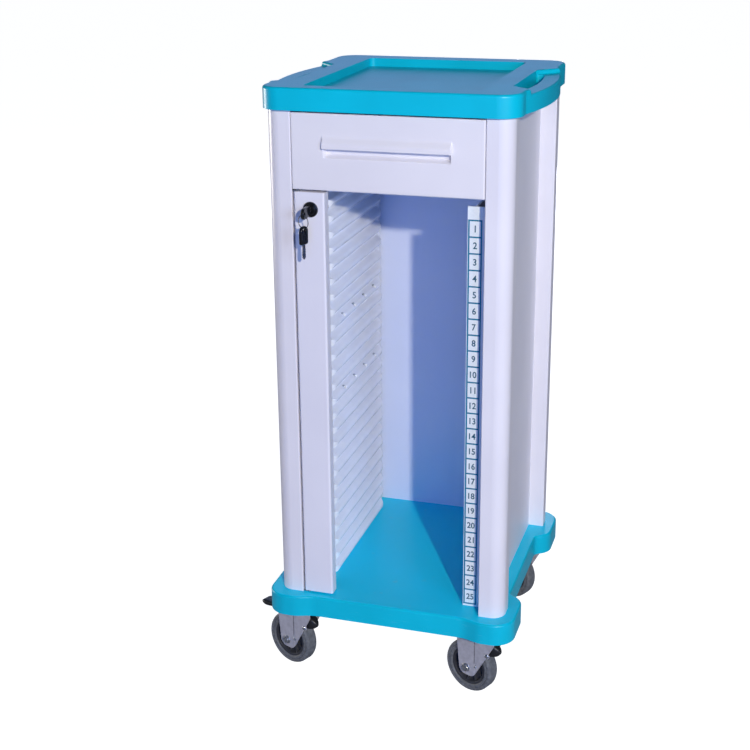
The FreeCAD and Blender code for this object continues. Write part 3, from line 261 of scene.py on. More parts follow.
def cyan_abs(name, scuffed_with_painted_lit_top):
    """Moulded cyan ABS. A scuffed one has level rub marks, and its upward faces have a lighter cyan mixed in by their
    normal: painted light on its top.
    """
    material, tree, mm = new_material(name)
    flow = noise(tree, mm, 90, 2, roughness=0.4)
    tone = blend(tree, (flow, "Fac"), 0.3, 0.7, linear("#00B4CE"), linear("#00BDD8"))
    speck = noise(tree, mm, 2.2, 3)
    gloss = spread(tree, (speck, "Fac"), 0.3, 0.7, 0.30, 0.40)
    colour, rough = (tone, "Color"), (gloss, "Result")
    if scuffed_with_painted_lit_top:
        # Painted light: faces that turn up get a lighter cyan, as if lit from above.
        face = add(tree, "NewGeometry")
        lean = add(tree, "SeparateXYZ", {"Vector": (face, "Normal")})
        flat = spread(tree, (lean, "Z"), 0.8, 0.99, 0.0, 1.0)
        painted_lit_top = add(tree, "Mix", {"Factor": (flat, "Result"), "A": colour, "B": linear("#00D2F6")},
                   data_type="RGBA")
        colour = (painted_lit_top, "Result")
        rub = noise(tree, mm, 2.0, 4, stretch=(14, 14, 1))
        wide = noise(tree, mm, 45, 2)
        line = spread(tree, (rub, "Fac"), 0.62, 0.72, 0.0, 1.0)
        patch = spread(tree, (wide, "Fac"), 0.5, 0.66, 0.0, 0.55)
        mark = add(tree, "Math", {0: (line, "Result"), 1: (patch, "Result")}, operation="MULTIPLY")
        worn = add(tree, "Mix", {"Factor": (mark, "Value"), "A": colour, "B": linear("#5CC4DD")},
                   data_type="RGBA")
        colour = (worn, "Result")
    grain = bump(tree, (noise(tree, mm, 0.9, 2), "Fac"), 0.012)
    finish_shader(tree, colour, rough, (grain, "Normal"), IOR=1.53, Specular_IOR_Level=0.28)
    return material


base_abs = cyan_abs("cyan_abs_scuffed_painted_lit_top", True)
cap_abs = cyan_abs("cyan_abs_moulded", False)
dress(["base_tray"], base_abs)

# ---- castors ----
# Each castor is a pressed, zinc-plated fork on a ball race. The wheel is grey thermoplastic rubber on a nylon hub.
# The two front castors have a black brake pedal. Castor sizes are in millimetres from the swivel axis at the floor,
# with the wheel trailing along -X until at_castor turns them.

# Pressed steel, zinc plated and passivated: satin grey with cloudy patches about 9 mm across. It is drawn mostly
# matt, with little metallic, since it shows an even grey rather than reflections.
fork_zinc, tree, mm = new_material("passivated_pressed_steel")
clouds = noise(tree, mm, 9, 3)
tone = blend(tree, (clouds, "Fac"), 0.35, 0.65, linear("#ABAAB2"), linear("#BBBAC2"))
gloss = spread(tree, (clouds, "Fac"), 0.3, 0.7, 0.36, 0.5)
draw = bump(tree, (noise(tree, mm, 1.2, 2, stretch=(1, 1, 8)), "Fac"), 0.02)
finish_shader(tree, (tone, "Color"), (gloss, "Result"), (draw, "Normal"), Metallic=0.15)

# Painted shade in the fork's pressed crease: a dark grey, dull line, in streaks about 3 mm long.
painted_crease_shade, tree, mm = new_material("painted_crease_shade_grey")
shade_streak = noise(tree, mm, 1.0, 3, stretch=(1, 1, 3))
tone = blend(tree, (shade_streak, "Fac"), 0.3, 0.7, linear("#3A3A42"), linear("#55555E"))
gloss = spread(tree, (shade_streak, "Fac"), 0.3, 0.7, 0.5, 0.8)
finish_shader(tree, (tone, "Color"), (gloss, "Result"))

# Thermoplastic rubber: mid grey, dull, with pale dust in patches about 7 mm across.
tread, tree, mm = new_material("grey_thermoplastic_rubber")
dust = noise(tree, mm, 7, 4, roughness=0.6)
tone = blend(tree, (dust, "Fac"), 0.4, 0.75, linear("#5A5D62"), linear("#74777B"))
gloss = spread(tree, (dust, "Fac"), 0.3, 0.7, 0.55, 0.8)
pores = bump(tree, (noise(tree, mm, 0.8, 2), "Fac"), 0.03)
finish_shader(tree, (tone, "Color"), (gloss, "Result"), (pores, "Normal"), Specular_IOR_Level=0.35)

# Glass-filled nylon: nearly black grey with a faint flow of fibres 4 mm long.
hub_nylon, tree, mm = new_material("dark_filled_nylon")
fibres = noise(tree, mm, 1.0, 3, stretch=(4, 1, 1))
tone = blend(tree, (fibres, "Fac"), 0.35, 0.7, linear("#2E3036"), linear("#3B3D44"))
gloss = spread(tree, (fibres, "Fac"), 0.3, 0.7, 0.4, 0.55)
finish_shader(tree, (tone, "Color"), (gloss, "Result"))

# Polypropylene pedals: black, lightly grained at 1 mm.
black_pp, tree, mm = new_material("black_grained_polypropylene")
leather = noise(tree, mm, 1.0, 3)
tone = blend(tree, (leather, "Fac"), 0.3, 0.7, linear("#111214"), linear("#1C1D20"))
gloss = spread(tree, (leather, "Fac"), 0.3, 0.7, 0.34, 0.5)
grain = bump(tree, (leather, "Fac"), 0.03)
finish_shader(tree, (tone, "Color"), (gloss, "Result"), (grain, "Normal"))

corners = {"fl": "front_left", "fr": "front_right", "rl": "rear_left", "rr": "rear_right"}
dress(["castor_" + c + "_fork" for c in corners], fork_zinc)
dress(["castor_" + c + "_plate" for c in corners], zinc)
dress(["castor_" + c + "_hub" for c in corners], hub_nylon)

castor_trail, wheel_radius, castor_turn = 33.0, 50.0, math.radians(-24.0)
cheek_face, cheek_pressed = 17.6, 17.0
axle_radius, hexagon_across = 4.0, 13.0
bolt_height, nut_height = 5.0, 6.5
rivet_place, rivet_radius, rivet_height = (-13.0, 58.0), 3.0, 1.6
brake_pin_place, brake_pin_radius, brake_pin_height = (12.0, 89.5), 4.2, 1.8
rib_count, rib_first, rib_from, rib_to, rib_dip = 10, 0.2, 9.5, 31.8, 2.4
web_face, rib_edge = 1.8, 9.4
crease_x, crease_low, crease_high = -15.0, 62.0, 108.0


def rounded(corners_uvr, arc=5):
    """Points round a closed outline. A corner (u, v, radius) becomes arc+1 points on its tangent circle, found by
    turning the unit vector from the circle's centre evenly from one touching point to the other."""
    table = np.asarray(corners_uvr, float)
    here, radius = table[:, :2], table[:, 2:3]
    back = np.roll(here, 1, 0) - here
    ahead = np.roll(here, -1, 0) - here
    back /= np.linalg.norm(back, axis=1, keepdims=True)
    ahead /= np.linalg.norm(ahead, axis=1, keepdims=True)
    half = np.arccos(np.clip((back * ahead).sum(1, keepdims=True), -1, 1)) / 2
    middle = back + ahead
    middle /= np.linalg.norm(middle, axis=1, keepdims=True)
    centre = here + middle * radius / np.sin(half)
    first = here + back * radius / np.tan(half) - centre
    last = here + ahead * radius / np.tan(half) - centre
    sweep = np.pi - 2 * half
    share = np.linspace(0, 1, arc + 1)[None, :, None]
    sweep, first, last = sweep[:, None], first[:, None], last[:, None]
    turn = np.sin((1 - share) * sweep) * first + np.sin(share * sweep) * last
    return (centre[:, None] + turn / np.sin(sweep)).reshape(-1, 2)


def skin(rings, close_rows=False):
    """A closed skin over rings, each row a closed loop of points: quads between the loops, a fan over each end."""
    rows, columns = rings.shape[:2]
    points = rings.reshape(-1, 3)
    quads = sheet_faces(rows, columns, close_rows, True)
    fans = np.zeros((0, 3), int)
    if not close_rows:
        loop = np.arange(columns)
        after = (loop + 1) % columns
        shift = (rows - 1) * columns
        ends = np.stack([rings[0].mean(0), rings[-1].mean(0)])
        first = np.stack([np.full(columns, len(points)), after, loop], -1)
        last = np.stack([np.full(columns, len(points) + 1), loop + shift, after + shift], -1)
        points = np.concatenate([points, ends])
        fans = np.concatenate([first, last])
    return points, quads, fans


def solid_piece(name, body, skins, material, stands_for=(), sharp=35.0):
    """One object on a body from closed skins in millimetres, in place of the nodes that it stands for. A skin with a
    negative volume has its faces turned round, and edges past sharp degrees stay crisp."""
    points, faces, start = [], [], 0
    for place, quads, fans in skins:
        corner = place[np.concatenate([quads[:, [0, 1, 2]], quads[:, [0, 2, 3]], fans])]
        if np.einsum("ij,ij->", corner[:, 0], np.cross(corner[:, 1], corner[:, 2])) < 0:
            quads, fans = quads[:, ::-1], fans[:, ::-1]
        faces += (quads + start).tolist() + (fans + start).tolist()
        points.append(place)
        start += len(place)
    made = mesh_piece(name, np.concatenate(points) / 1000, faces, material)
    made.data.set_sharp_from_angle(angle=math.radians(sharp))
    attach(made, body)
    if stands_for:
        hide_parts(*stands_for)


def turned_on_axle(outline, steps=72):
    """A closed (y, radius) outline carried round the axle: x = r cos a - trail, z = r sin a + axle height."""
    angle = np.linspace(0, 2 * np.pi, steps, endpoint=False)[:, None]
    y, r = outline[:, 0][None, :], outline[:, 1][None, :]
    grid = np.stack([r * np.cos(angle) - castor_trail, y + 0 * angle, r * np.sin(angle) + wheel_radius], -1)
    return skin(grid, close_rows=True)


def button(x, z, face, side, stations, across=0.0):
    """A head on the cheek: loops of (height above the face, radius), limited by a hexagon if it has a width across
    its flats. A flat stands across / 2 / cos(angle from the flat's middle) from the axis."""
    table = np.asarray(stations, float)
    angle = np.linspace(0, 2 * np.pi, 36, endpoint=False)[None, :]
    radius = table[:, 1:2] + 0 * angle
    if across:
        inside = (angle + np.pi / 6) % (np.pi / 3) - np.pi / 6
        radius = np.minimum(radius, across / 2 / np.cos(inside))
    y = side * (face + table[:, :1]) + 0 * angle
    return skin(np.stack([x + radius * np.cos(angle), y, z + radius * np.sin(angle)], -1))


# Outlines of the tyre and the hub: (along the axle, radius, rounding) at each corner.
tyre_outline = rounded([(-11.0, 36.05, 0.3), (11.0, 36.05, 0.3), (13.1, 38.0, 0.8), (13.0, 41.6, 0.6),
                        (11.9, 42.6, 0.5), (13.3, 44.2, 1.0), (12.7, 47.8, 3.0), (8.6, 50.0, 5.0),
                        (-8.6, 50.0, 5.0), (-12.7, 47.8, 3.0), (-13.3, 44.2, 1.0), (-11.9, 42.6, 0.5),
                        (-13.0, 41.6, 0.6), (-13.1, 38.0, 0.8)])
hub_outline = rounded([(-14.4, 4.2, 0.3), (14.4, 4.2, 0.3), (14.4, 8.8, 0.8), (11.0, 10.6, 1.2),
                       (2.6, 12.2, 1.5), (2.2, 29.6, 1.5), (9.4, 31.4, 0.7), (10.6, 31.8, 0.3),
                       (10.6, 35.9, 0.3), (-10.6, 35.9, 0.3), (-10.6, 31.8, 0.3), (-9.4, 31.4, 0.7),
                       (-2.2, 29.6, 1.5), (-2.6, 12.2, 1.5), (-11.0, 10.6, 1.2), (-14.4, 8.8, 0.8)])


def hub_rib(turn, side):
    """A thin rib from the boss to the rim. Its free edge dips along the radius r as a half sine."""
    r = np.linspace(rib_from, rib_to, 9)[:, None]
    edge = rib_edge - rib_dip * np.sin(np.pi * (r - rib_from) / (rib_to - rib_from))
    loop = np.array([(-1.0, 0.0), (1.0, 0.0), (0.8, 1.0), (-0.8, 1.0)])
    across = loop[:, 0][None, :] + 0 * r
    y = side * (web_face + (edge - web_face) * loop[:, 1][None, :])
    x = r * math.cos(turn) - across * math.sin(turn) - castor_trail
    z = r * math.sin(turn) + across * math.cos(turn) + wheel_radius
    return skin(np.stack([x, y, z], -1))


def bolted(y_end, side):
    """A washer, and a hexagon head with a chamfer and a slightly domed end, on one cheek."""
    washer = [(0.0, 8.2), (0.9, 8.2), (1.2, 7.9), (1.2, axle_radius)]
    head = [(1.2, 7.6), (y_end - 0.9, 7.6), (y_end, 6.3), (y_end + 0.05, axle_radius)]
    return [button(-castor_trail, wheel_radius, cheek_face, side, washer),
            button(-castor_trail, wheel_radius, cheek_face, side, head, hexagon_across)]


def domed(place, side, radius, height):
    """A riveted end on the pressed part of a cheek: a quarter ellipse turned about its own axis, sunk 0.3 mm in."""
    dome = np.linspace(0, np.pi / 2, 6)[:-1]
    stations = np.stack([height * np.sin(dome), radius * np.cos(dome)], -1)
    return button(*place, cheek_pressed, side, np.concatenate([[(-0.3, radius)], stations]))


def crease_line(side):
    """A dark line of painted shade up a cheek's crease: elliptic sections 1.1 mm wide, 0.15 mm proud of the cheek and
    0.5 mm deep in it. Their size grows with the root of the height over the foot and is whole from 5 mm up."""
    z = np.linspace(crease_low, crease_high, 24)[:, None]
    angle = np.linspace(0, 2 * np.pi, 16, endpoint=False)[None, :]
    size = np.sqrt(np.clip((z - crease_low + 0.4) / 5.0, 0.05, 1))
    x = 0.55 * size * np.cos(angle) + crease_x
    y = side * (cheek_face + (0.5 - 0.35 * (np.sin(angle) > 0)) * size * np.sin(angle))
    return skin(np.stack([x, y, z + 0 * angle], -1))


# Pedal: at each station along X, its top, its underside and its half width. The foot thins to a beak behind the
# wheel, and the lobe ahead of the pin is rounded in plan.
pedal_x = np.array([-105.8, -104.6, -101, -95, -86, -74, -62, -50, -34,
                    -18, -8, 0, 7, 13, 19, 24, 28.4, 31.4])
pedal_top = np.array([104.2, 105.4, 106.6, 107.6, 108.6, 109.6, 110, 110.2, 110.6,
                      111, 111.2, 111.2, 111, 110.4, 109, 106.6, 103, 99])
pedal_low = np.array([102.8, 101.8, 100, 98, 98.8, 101.4, 104, 104.6, 104.8,
                      104.6, 102, 95, 87, 84.4, 85.6, 87.4, 90.5, 96])
pedal_half = np.array([8.5, 10.4, 12.2, 13, 13, 13, 13, 13, 13,
                       13, 13, 12.8, 12.2, 11.2, 9.8, 8.0, 5.4, 2.4])
pedal_loops_per_station = 6


def pedal():
    """Superellipse sections (power 4.4 across, 3.3 up) through the stations, joined along X by a cubic that takes its
    slope at each station from the two beside it."""
    spans = len(pedal_x) - 1
    fine = np.linspace(0, spans, pedal_loops_per_station * spans + 1)
    knot = np.arange(len(pedal_x))

    def eased(values):
        low = np.clip(fine.astype(int), 0, len(values) - 2)
        t = fine - low
        slope = np.gradient(values, knot)
        a, b = values[low], values[low + 1]
        return ((2 * t ** 3 - 3 * t ** 2 + 1) * a + (t ** 3 - 2 * t ** 2 + t) * slope[low]
                + (3 * t ** 2 - 2 * t ** 3) * b + (t ** 3 - t ** 2) * slope[low + 1])[:, None]

    x, top, low, half = eased(pedal_x), eased(pedal_top), eased(pedal_low), eased(pedal_half)
    angle = np.linspace(0, 2 * np.pi, 40, endpoint=False)[None, :]
    c, v = np.cos(angle), np.sin(angle)
    y = half * np.sign(c) * np.abs(c) ** 0.45
    z = (top + low) / 2 + (top - low) / 2 * np.sign(v) * np.abs(v) ** 0.6
    return skin(np.stack([x + 0 * angle, y, z], -1))


def at_castor(corner, skins):
    """Turns local skins by castor_turn about the swivel axis and moves them to a castor's place, which is the middle
    of its plate."""
    low, high = (np.array(end) * 1000 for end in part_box("castor_" + corner + "_plate"))
    middle = (low + high) / 2
    c, v = math.cos(castor_turn), math.sin(castor_turn)
    spin = np.array([[c, v, 0], [-v, c, 0], [0, 0, 1]])
    return [(points @ spin + (middle[0], middle[1], 0), quads, fans) for points, quads, fans in skins]


rib_turns = np.arange(rib_count) * 2 * np.pi / rib_count + rib_first
for corner, words in corners.items():
    tyre_skin = at_castor(corner, [turned_on_axle(tyre_outline)])
    solid_piece("tyre_" + words, "wheel_" + words, tyre_skin, tread, ["castor_" + corner + "_tyre"], sharp=50)
    ribs = [hub_rib(turn, side) for turn in rib_turns for side in (-1, 1)]
    hub_skins = at_castor(corner, [turned_on_axle(hub_outline)] + ribs)
    solid_piece("hub_" + words, "wheel_" + words, hub_skins, hub_nylon, ["castor_" + corner + "_hub"])
    shaft = [(-2 * cheek_face, axle_radius), (0.0, axle_radius)]
    heads = [button(-castor_trail, wheel_radius, cheek_face, 1, shaft)]
    heads += bolted(bolt_height, -1) + bolted(nut_height, 1)
    for side in (-1, 1):
        heads.append(domed(rivet_place, side, rivet_radius, rivet_height))
        if corner in ("fl", "fr"):
            heads.append(domed(brake_pin_place, side, brake_pin_radius, brake_pin_height))
    # A dark strip up each crease paints the crease's shade.
    crease_shade_lines = at_castor(corner, [crease_line(side) for side in (-1, 1)])
    solid_piece("fork_crease_shade_" + words, "castor_" + words, crease_shade_lines, painted_crease_shade)
    solid_piece("axle_and_rivets_" + words, "castor_" + words, at_castor(corner, heads), zinc,
                ["castor_" + corner + "_pins"])
for corner in ("fl", "fr"):
    words = corners[corner]
    solid_piece("brake_pedal_" + words, "brake_" + words, at_castor(corner, [pedal()]), black_pp,
                ["castor_" + corner + "_brake"], sharp=60)

# ---- corner posts ----
# Four quarter-round aluminium extrusions, powder coated in a cool white. They are screwed to the base frame below
# and to the top frame above.

# Powder coat on an extrusion: satin, with faint die lines along the length, 0.7 mm apart.
post_coat, tree, mm = new_material("powder_coated_extrusion")
die = noise(tree, mm, 0.7, 1, stretch=(1, 1, 500))
peel = noise(tree, mm, 2.5, 2)
tone = blend(tree, (noise(tree, mm, 160, 2), "Fac"), 0.3, 0.7, linear("#DDDBE3"), linear("#E4E2E9"))
gloss = spread(tree, (peel, "Fac"), 0.3, 0.7, 0.28, 0.36)
lines = bump(tree, (die, "Fac"), 0.004)
satin = bump(tree, (peel, "Fac"), 0.012, under=lines)
finish_shader(tree, (tone, "Color"), (gloss, "Result"), (satin, "Normal"), IOR=1.5)
dress(["post_front_left", "post_front_right", "post_rear_left", "post_rear_right"], post_coat)

# ---- side and back panels ----
# Folded 1.2 mm steel sheet between the posts. The side panels and the door are powder coated to match the posts, and
# the back panel and the drawer's shelf in the same powder made a bluer white, painted shade for the blue shadow in
# the bay.

# Powder coat on sheet: satin cool white with orange peel about 3 mm across.
sheet_coat, tree, mm = new_material("powder_coated_sheet_steel")
peel = noise(tree, mm, 3.0, 2)
tone = blend(tree, (noise(tree, mm, 180, 2), "Fac"), 0.3, 0.7, linear("#DBDAE4"), linear("#E2E1EA"))
gloss = spread(tree, (peel, "Fac"), 0.3, 0.7, 0.36, 0.46)
satin = bump(tree, (peel, "Fac"), 0.02)
finish_shader(tree, (tone, "Color"), (gloss, "Result"), (satin, "Normal"), IOR=1.5)
dress(["side_panel_left", "side_panel_right", "locking_door"], sheet_coat)

# The bay's lining: the same powder, a little smoother, in a bluer white that paints the blue shade inside the bay.
bay_shade_coat, tree, mm = new_material("powder_coat_painted_bay_shade")
peel = noise(tree, mm, 3.5, 2)
tone = blend(tree, (noise(tree, mm, 200, 2), "Fac"), 0.3, 0.7, linear("#CAD4EE"), linear("#D1DAF2"))
gloss = spread(tree, (peel, "Fac"), 0.3, 0.7, 0.34, 0.42)
satin = bump(tree, (peel, "Fac"), 0.015)
finish_shader(tree, (tone, "Color"), (gloss, "Result"), (satin, "Normal"), IOR=1.5)
dress(["back_panel", "drawer_shelf"], bay_shade_coat)

# ---- chart racks ----
# Two injection-moulded polystyrene walls of rounded ledges, screwed through to steel rails behind them. The rails,
# the drawer's runners and the top frame are zinc plated.

# High-impact polystyrene: glossy white of its own, tinted blue as painted shade for the bay's blue shadow, slightly
# wavy over 25 mm where the ribs have sunk.
rack_ps_shade_tinted, tree, mm = new_material("white_polystyrene_tinted_bay_shade")
sink = noise(tree, mm, 25, 1)
tone = blend(tree, (sink, "Fac"), 0.3, 0.7, linear("#E9EFFD"), linear("#EEF3FF"))
gloss = spread(tree, (noise(tree, mm, 30, 2), "Fac"), 0.3, 0.7, 0.2, 0.26)
wave = bump(tree, (sink, "Fac"), 0.05)
finish_shader(tree, (tone, "Color"), (gloss, "Result"), (wave, "Normal"), IOR=1.55)
dress(["chart_rack_left", "chart_rack_right"], rack_ps_shade_tinted)
dress(["rack_rails", "drawer_runners", "drawer_slides", "top_frame"], zinc)

# ---- number strip ----
# A strip of coated card down the front of the right rack, printed with a ruled cell and a number for each slot.
# Its sizes are in millimetres. The figures are a flat mesh just in front of the card.

slot_top, slot_pitch, slot_count = 881.5, 28.0, 25
strip_low = np.array(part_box("number_strip")[0]) * 1000
rule_left, rule_right = strip_low[0] + 2.2, strip_low[0] + 23.4
rule_half = 1.35
rule_middle, rule_reach = (rule_left + rule_right) / 2, (rule_right - rule_left) / 2 + rule_half
figure_height, figure_width_share, figure_bold, figure_ahead = 11.4, 0.9, 0.018, 0.1

# Coated card: half-matt cool white, the rules printed 2.7 mm wide in teal ink with slightly uneven cover.
card, tree, mm = new_material("printed_coated_card")
axes = add(tree, "SeparateXYZ", {"Vector": (mm, "Vector")})
drop = add(tree, "Math", {0: slot_top, 1: (axes, "Z")}, operation="SUBTRACT")
near = add(tree, "Math", {0: (drop, "Value"), 1: slot_pitch / 2}, operation="PINGPONG")
lined = add(tree, "Math", {0: (near, "Value"), 1: rule_half}, operation="LESS_THAN")
wide = add(tree, "Math", {0: (axes, "X"), 1: rule_middle, 2: rule_reach}, operation="COMPARE")
lined = add(tree, "Math", {0: (lined, "Value"), 1: (wide, "Value")}, operation="MULTIPLY")
for edge in (rule_left, rule_right):
    upright = add(tree, "Math", {0: (axes, "X"), 1: edge, 2: rule_half}, operation="COMPARE")
    lined = add(tree, "Math", {0: (lined, "Value"), 1: (upright, "Value")}, operation="MAXIMUM")
tall = slot_count * slot_pitch / 2
within = add(tree, "Math", {0: (axes, "Z"), 1: slot_top - tall, 2: tall + rule_half}, operation="COMPARE")
ruled = add(tree, "Math", {0: (lined, "Value"), 1: (within, "Value")}, operation="MULTIPLY")
cover = noise(tree, mm, 3.0, 3)
ink = blend(tree, (cover, "Fac"), 0.3, 0.7, linear("#0A6E92"), linear("#147FA2"))
blank = blend(tree, (cover, "Fac"), 0.3, 0.7, linear("#E4EEF6"), linear("#ECF4FA"))
print_mix = add(tree, "Mix", {"Factor": (ruled, "Value"), "A": (blank, "Color"), "B": (ink, "Color")},
                data_type="RGBA")
gloss = spread(tree, (cover, "Fac"), 0.3, 0.7, 0.4, 0.52)
finish_shader(tree, (print_mix, "Result"), (gloss, "Result"))
dress(["number_strip"], card)

# Printed figures: the same ink, a little greyer in its thin strokes.
figure_ink, tree, mm = new_material("teal_printing_ink")
tone = blend(tree, (noise(tree, mm, 1.5, 2), "Fac"), 0.3, 0.7, linear("#12506A"), linear("#1D607B"))
gloss = spread(tree, (noise(tree, mm, 2.0, 2), "Fac"), 0.3, 0.7, 0.4, 0.5)
finish_shader(tree, (tone, "Color"), (gloss, "Result"))


def figure_mesh(words):
    """The flat outline of a number, slightly emboldened, as points and faces. It is centred and scaled to
    figure_height, and its width is figure_width_share of what that height gives."""
    curve = bpy.data.curves.new("figure", "FONT")
    curve.body = words
    curve.resolution_u = 6
    curve.offset = figure_bold
    holder = bpy.data.objects.new("figure", curve)
    bpy.context.scene.collection.objects.link(holder)
    bpy.context.view_layer.update()
    flat = bpy.data.meshes.new_from_object(holder)
    points = np.empty(len(flat.vertices) * 3)
    flat.vertices.foreach_get("co", points)
    points = points.reshape(-1, 3)[:, :2]
    faces = [list(face.vertices) for face in flat.polygons]
    bpy.data.objects.remove(holder)
    bpy.data.meshes.remove(flat)
    bpy.data.curves.remove(curve)
    size = points.max(0) - points.min(0)
    middle = (points.max(0) + points.min(0)) / 2
    return (points - middle) * figure_height / size[1] * (figure_width_share, 1.0), faces


figure_points, figure_faces, start = [], [], 0
for number in range(1, slot_count + 1):
    flat, faces = figure_mesh(str(number))
    x = rule_middle + flat[:, 0]
    z = slot_top - slot_pitch * (number - 0.5) + flat[:, 1]
    figure_points.append(np.stack([x, np.full_like(x, strip_low[1] - figure_ahead), z], -1))
    figure_faces += [[corner + start for corner in face] for face in faces]
    start += len(flat)
figure_points = np.concatenate(figure_points) / 1000
figures = mesh_piece("slot_numbers", figure_points, figure_faces, figure_ink, smooth=False)
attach(figures, "cabinet")

# ---- drawer ----
# A moulded front with a hooded grip, on a moulded tray that rides on two channels. The hood's sides are steep and
# its top runs out softly, and below its lip a shallow hollow leaves room for the fingers.

# Moulded ABS front, painted to match the posts: satin, orange peel about 4 mm across.
front_paint, tree, mm = new_material("satin_painted_abs")
peel = noise(tree, mm, 4.0, 2)
tone = blend(tree, (noise(tree, mm, 140, 2), "Fac"), 0.3, 0.7, linear("#DCDAE1"), linear("#E3E1E7"))
gloss = spread(tree, (peel, "Fac"), 0.3, 0.7, 0.3, 0.4)
satin = bump(tree, (peel, "Fac"), 0.02)
finish_shader(tree, (tone, "Color"), (gloss, "Result"), (satin, "Normal"), IOR=1.5)
dress(["drawer_tray"], rack_ps_shade_tinted)

front_low, front_high = (np.array(end) * 1000 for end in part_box("drawer_front"))
hood_deep, hood_half, hood_top, hood_full, hood_lip, lip_round = 7.0, 110.0, 1015.5, 998.0, 993.0, 1.2
hollow_half, hollow_back, hollow_low, hollow_deep = 107.4, 985.0, 976.5, 9.0
front_face = front_low[1] + hood_deep
front_edge = 2.5


def step(value, start, end):
    """Smooth step: 0 before start, 1 after end, 3t^2 - 2t^3 between."""
    t = np.clip((value - start) / (end - start), 0, 1)
    return t * t * (3 - 2 * t)


def front_profile():
    """(forward, z) down the front: flat, the hood out to its lip on a soft wedge t - 0.8 sin(2 pi t) / (2 pi), back
    under the lip, the hollow out again on a smooth step, flat. Forward is positive on the hood and negative in the
    hollow, and z falls all the way."""
    z_top = np.linspace(front_high[2] - front_edge, hood_top + 1.5, 10)
    t = np.linspace(0, 1, 20)
    z_hood = hood_top - (hood_top - hood_full) * t
    rise = hood_deep * (t - 0.8 * np.sin(2 * np.pi * t) / (2 * np.pi))
    z_lip = np.linspace(hood_full - 1.0, hood_lip + lip_round, 4)
    a = np.linspace(0, np.pi / 2, 6)
    z_round = hood_lip + lip_round - lip_round * np.sin(a)
    y_round = hood_deep - lip_round + lip_round * np.cos(a)
    y_under = np.linspace(4.0, -hollow_deep, 8)
    z_under = hood_lip - np.linspace(0.1, 1.0, 8)
    z_back = np.linspace(hood_lip - 1.6, hollow_back, 4)
    u = np.linspace(0, 1, 14)
    z_out = hollow_back - 1.0 - (hollow_back - 1.0 - hollow_low) * u
    y_out = -hollow_deep * (1 - step(u, 0.0, 1.0))
    z_flat = np.linspace(hollow_low - 2.0, front_low[2] + front_edge, 14)
    z = np.concatenate([z_top, z_hood, z_lip, z_round, z_under, z_back, z_out, z_flat])
    y = np.concatenate([0 * z_top, rise, 0 * z_lip + hood_deep, y_round, y_under, 0 * z_back - hollow_deep,
                        y_out, 0 * z_flat])
    return y, z


def drawer_front_skin():
    """The profile carried along X. Forward depth fades on a smooth step over 2.7 mm at the hood's ends and 4 mm at
    the hollow's, the rim is a quarter circle of front_edge, and the back is flat."""
    y_line, z_line = front_profile()
    a = np.linspace(np.pi / 2, 0, 6)
    z_rim = front_high[2] - front_edge + front_edge * np.sin(a)
    y_rim = front_edge * np.cos(a) - front_edge
    z_line = np.concatenate([z_rim[:-1], z_line, (front_low[2] + front_high[2] - z_rim[::-1])[1:]])
    y_line = np.concatenate([y_rim[:-1], y_line, y_rim[::-1][1:]])
    half = front_high[0]
    hood_end = np.linspace(hood_half - 5, hood_half + 3, 14)
    plain = np.linspace(hood_half + 6, half - 4, 8)
    rim = half - front_edge + front_edge * np.sin(np.linspace(0, np.pi / 2, 6))
    right_x = np.concatenate([np.linspace(0, hood_half - 7, 20), hood_end, plain, rim])
    x_line = np.concatenate([-right_x[::-1], right_x[1:]])[:, None]
    past_rim = np.abs(x_line) - (half - front_edge)
    round_rim = np.sqrt(np.clip(front_edge ** 2 - past_rim ** 2, 0, None)) - front_edge
    rim_y = np.where(past_rim > 0, round_rim, 0.0)
    hood = 1 - step(np.abs(x_line), hood_half - 2.5, hood_half + 0.2)
    hollow = 1 - step(np.abs(x_line), hollow_half - 4.0, hollow_half)
    y = np.where(y_line[None, :] > 0, y_line * hood, 0) + np.where(y_line[None, :] < 0, y_line * hollow, 0)
    in_rim = (z_line > front_high[2] - front_edge) | (z_line < front_low[2] + front_edge)
    y = np.where(in_rim[None, :], y_line[None, :] + 0 * x_line, y)
    forward = np.minimum(y, y + rim_y)
    grid = np.stack([x_line + 0 * y, front_face - forward, z_line[None, :] + 0 * y], -1)
    back_low = np.full((len(x_line), 3), (0.0, front_high[1], front_low[2]))
    back_low[:, 0] = x_line[:, 0]
    back_high = back_low.copy()
    back_high[:, 2] = front_high[2]
    return skin(np.concatenate([grid, back_low[:, None], back_high[:, None]], 1))


solid_piece("drawer_front_moulded", "drawer", [drawer_front_skin()], front_paint, ["drawer_front"], sharp=40)

# ---- lock, keys and hinge ----
# A round cam lock in the door, with its key, a wire ring and the spare key. The spare key is the same key, hung from
# the ring.

# Black electro-coat on die-cast zinc: deep gloss with wiping marks about 2 mm apart.
lock_black, tree, mm = new_material("black_coated_die_cast_zinc")
wipe = noise(tree, mm, 2.0, 3)
tone = blend(tree, (wipe, "Fac"), 0.3, 0.7, linear("#0C0C0E"), linear("#17181B"))
gloss = spread(tree, (wipe, "Fac"), 0.3, 0.7, 0.06, 0.12)
finish_shader(tree, (tone, "Color"), (gloss, "Result"), Coat_Weight=0.6, Coat_Roughness=0.05)

# Moulded key heads: gloss black acetal with faint swirls 6 mm across.
key_acetal, tree, mm = new_material("gloss_black_acetal")
swirl = noise(tree, mm, 6.0, 2)
tone = blend(tree, (swirl, "Fac"), 0.3, 0.7, linear("#0C0C10"), linear("#131318"))
gloss = spread(tree, (swirl, "Fac"), 0.3, 0.7, 0.12, 0.22)
finish_shader(tree, (tone, "Color"), (gloss, "Result"), IOR=1.48)

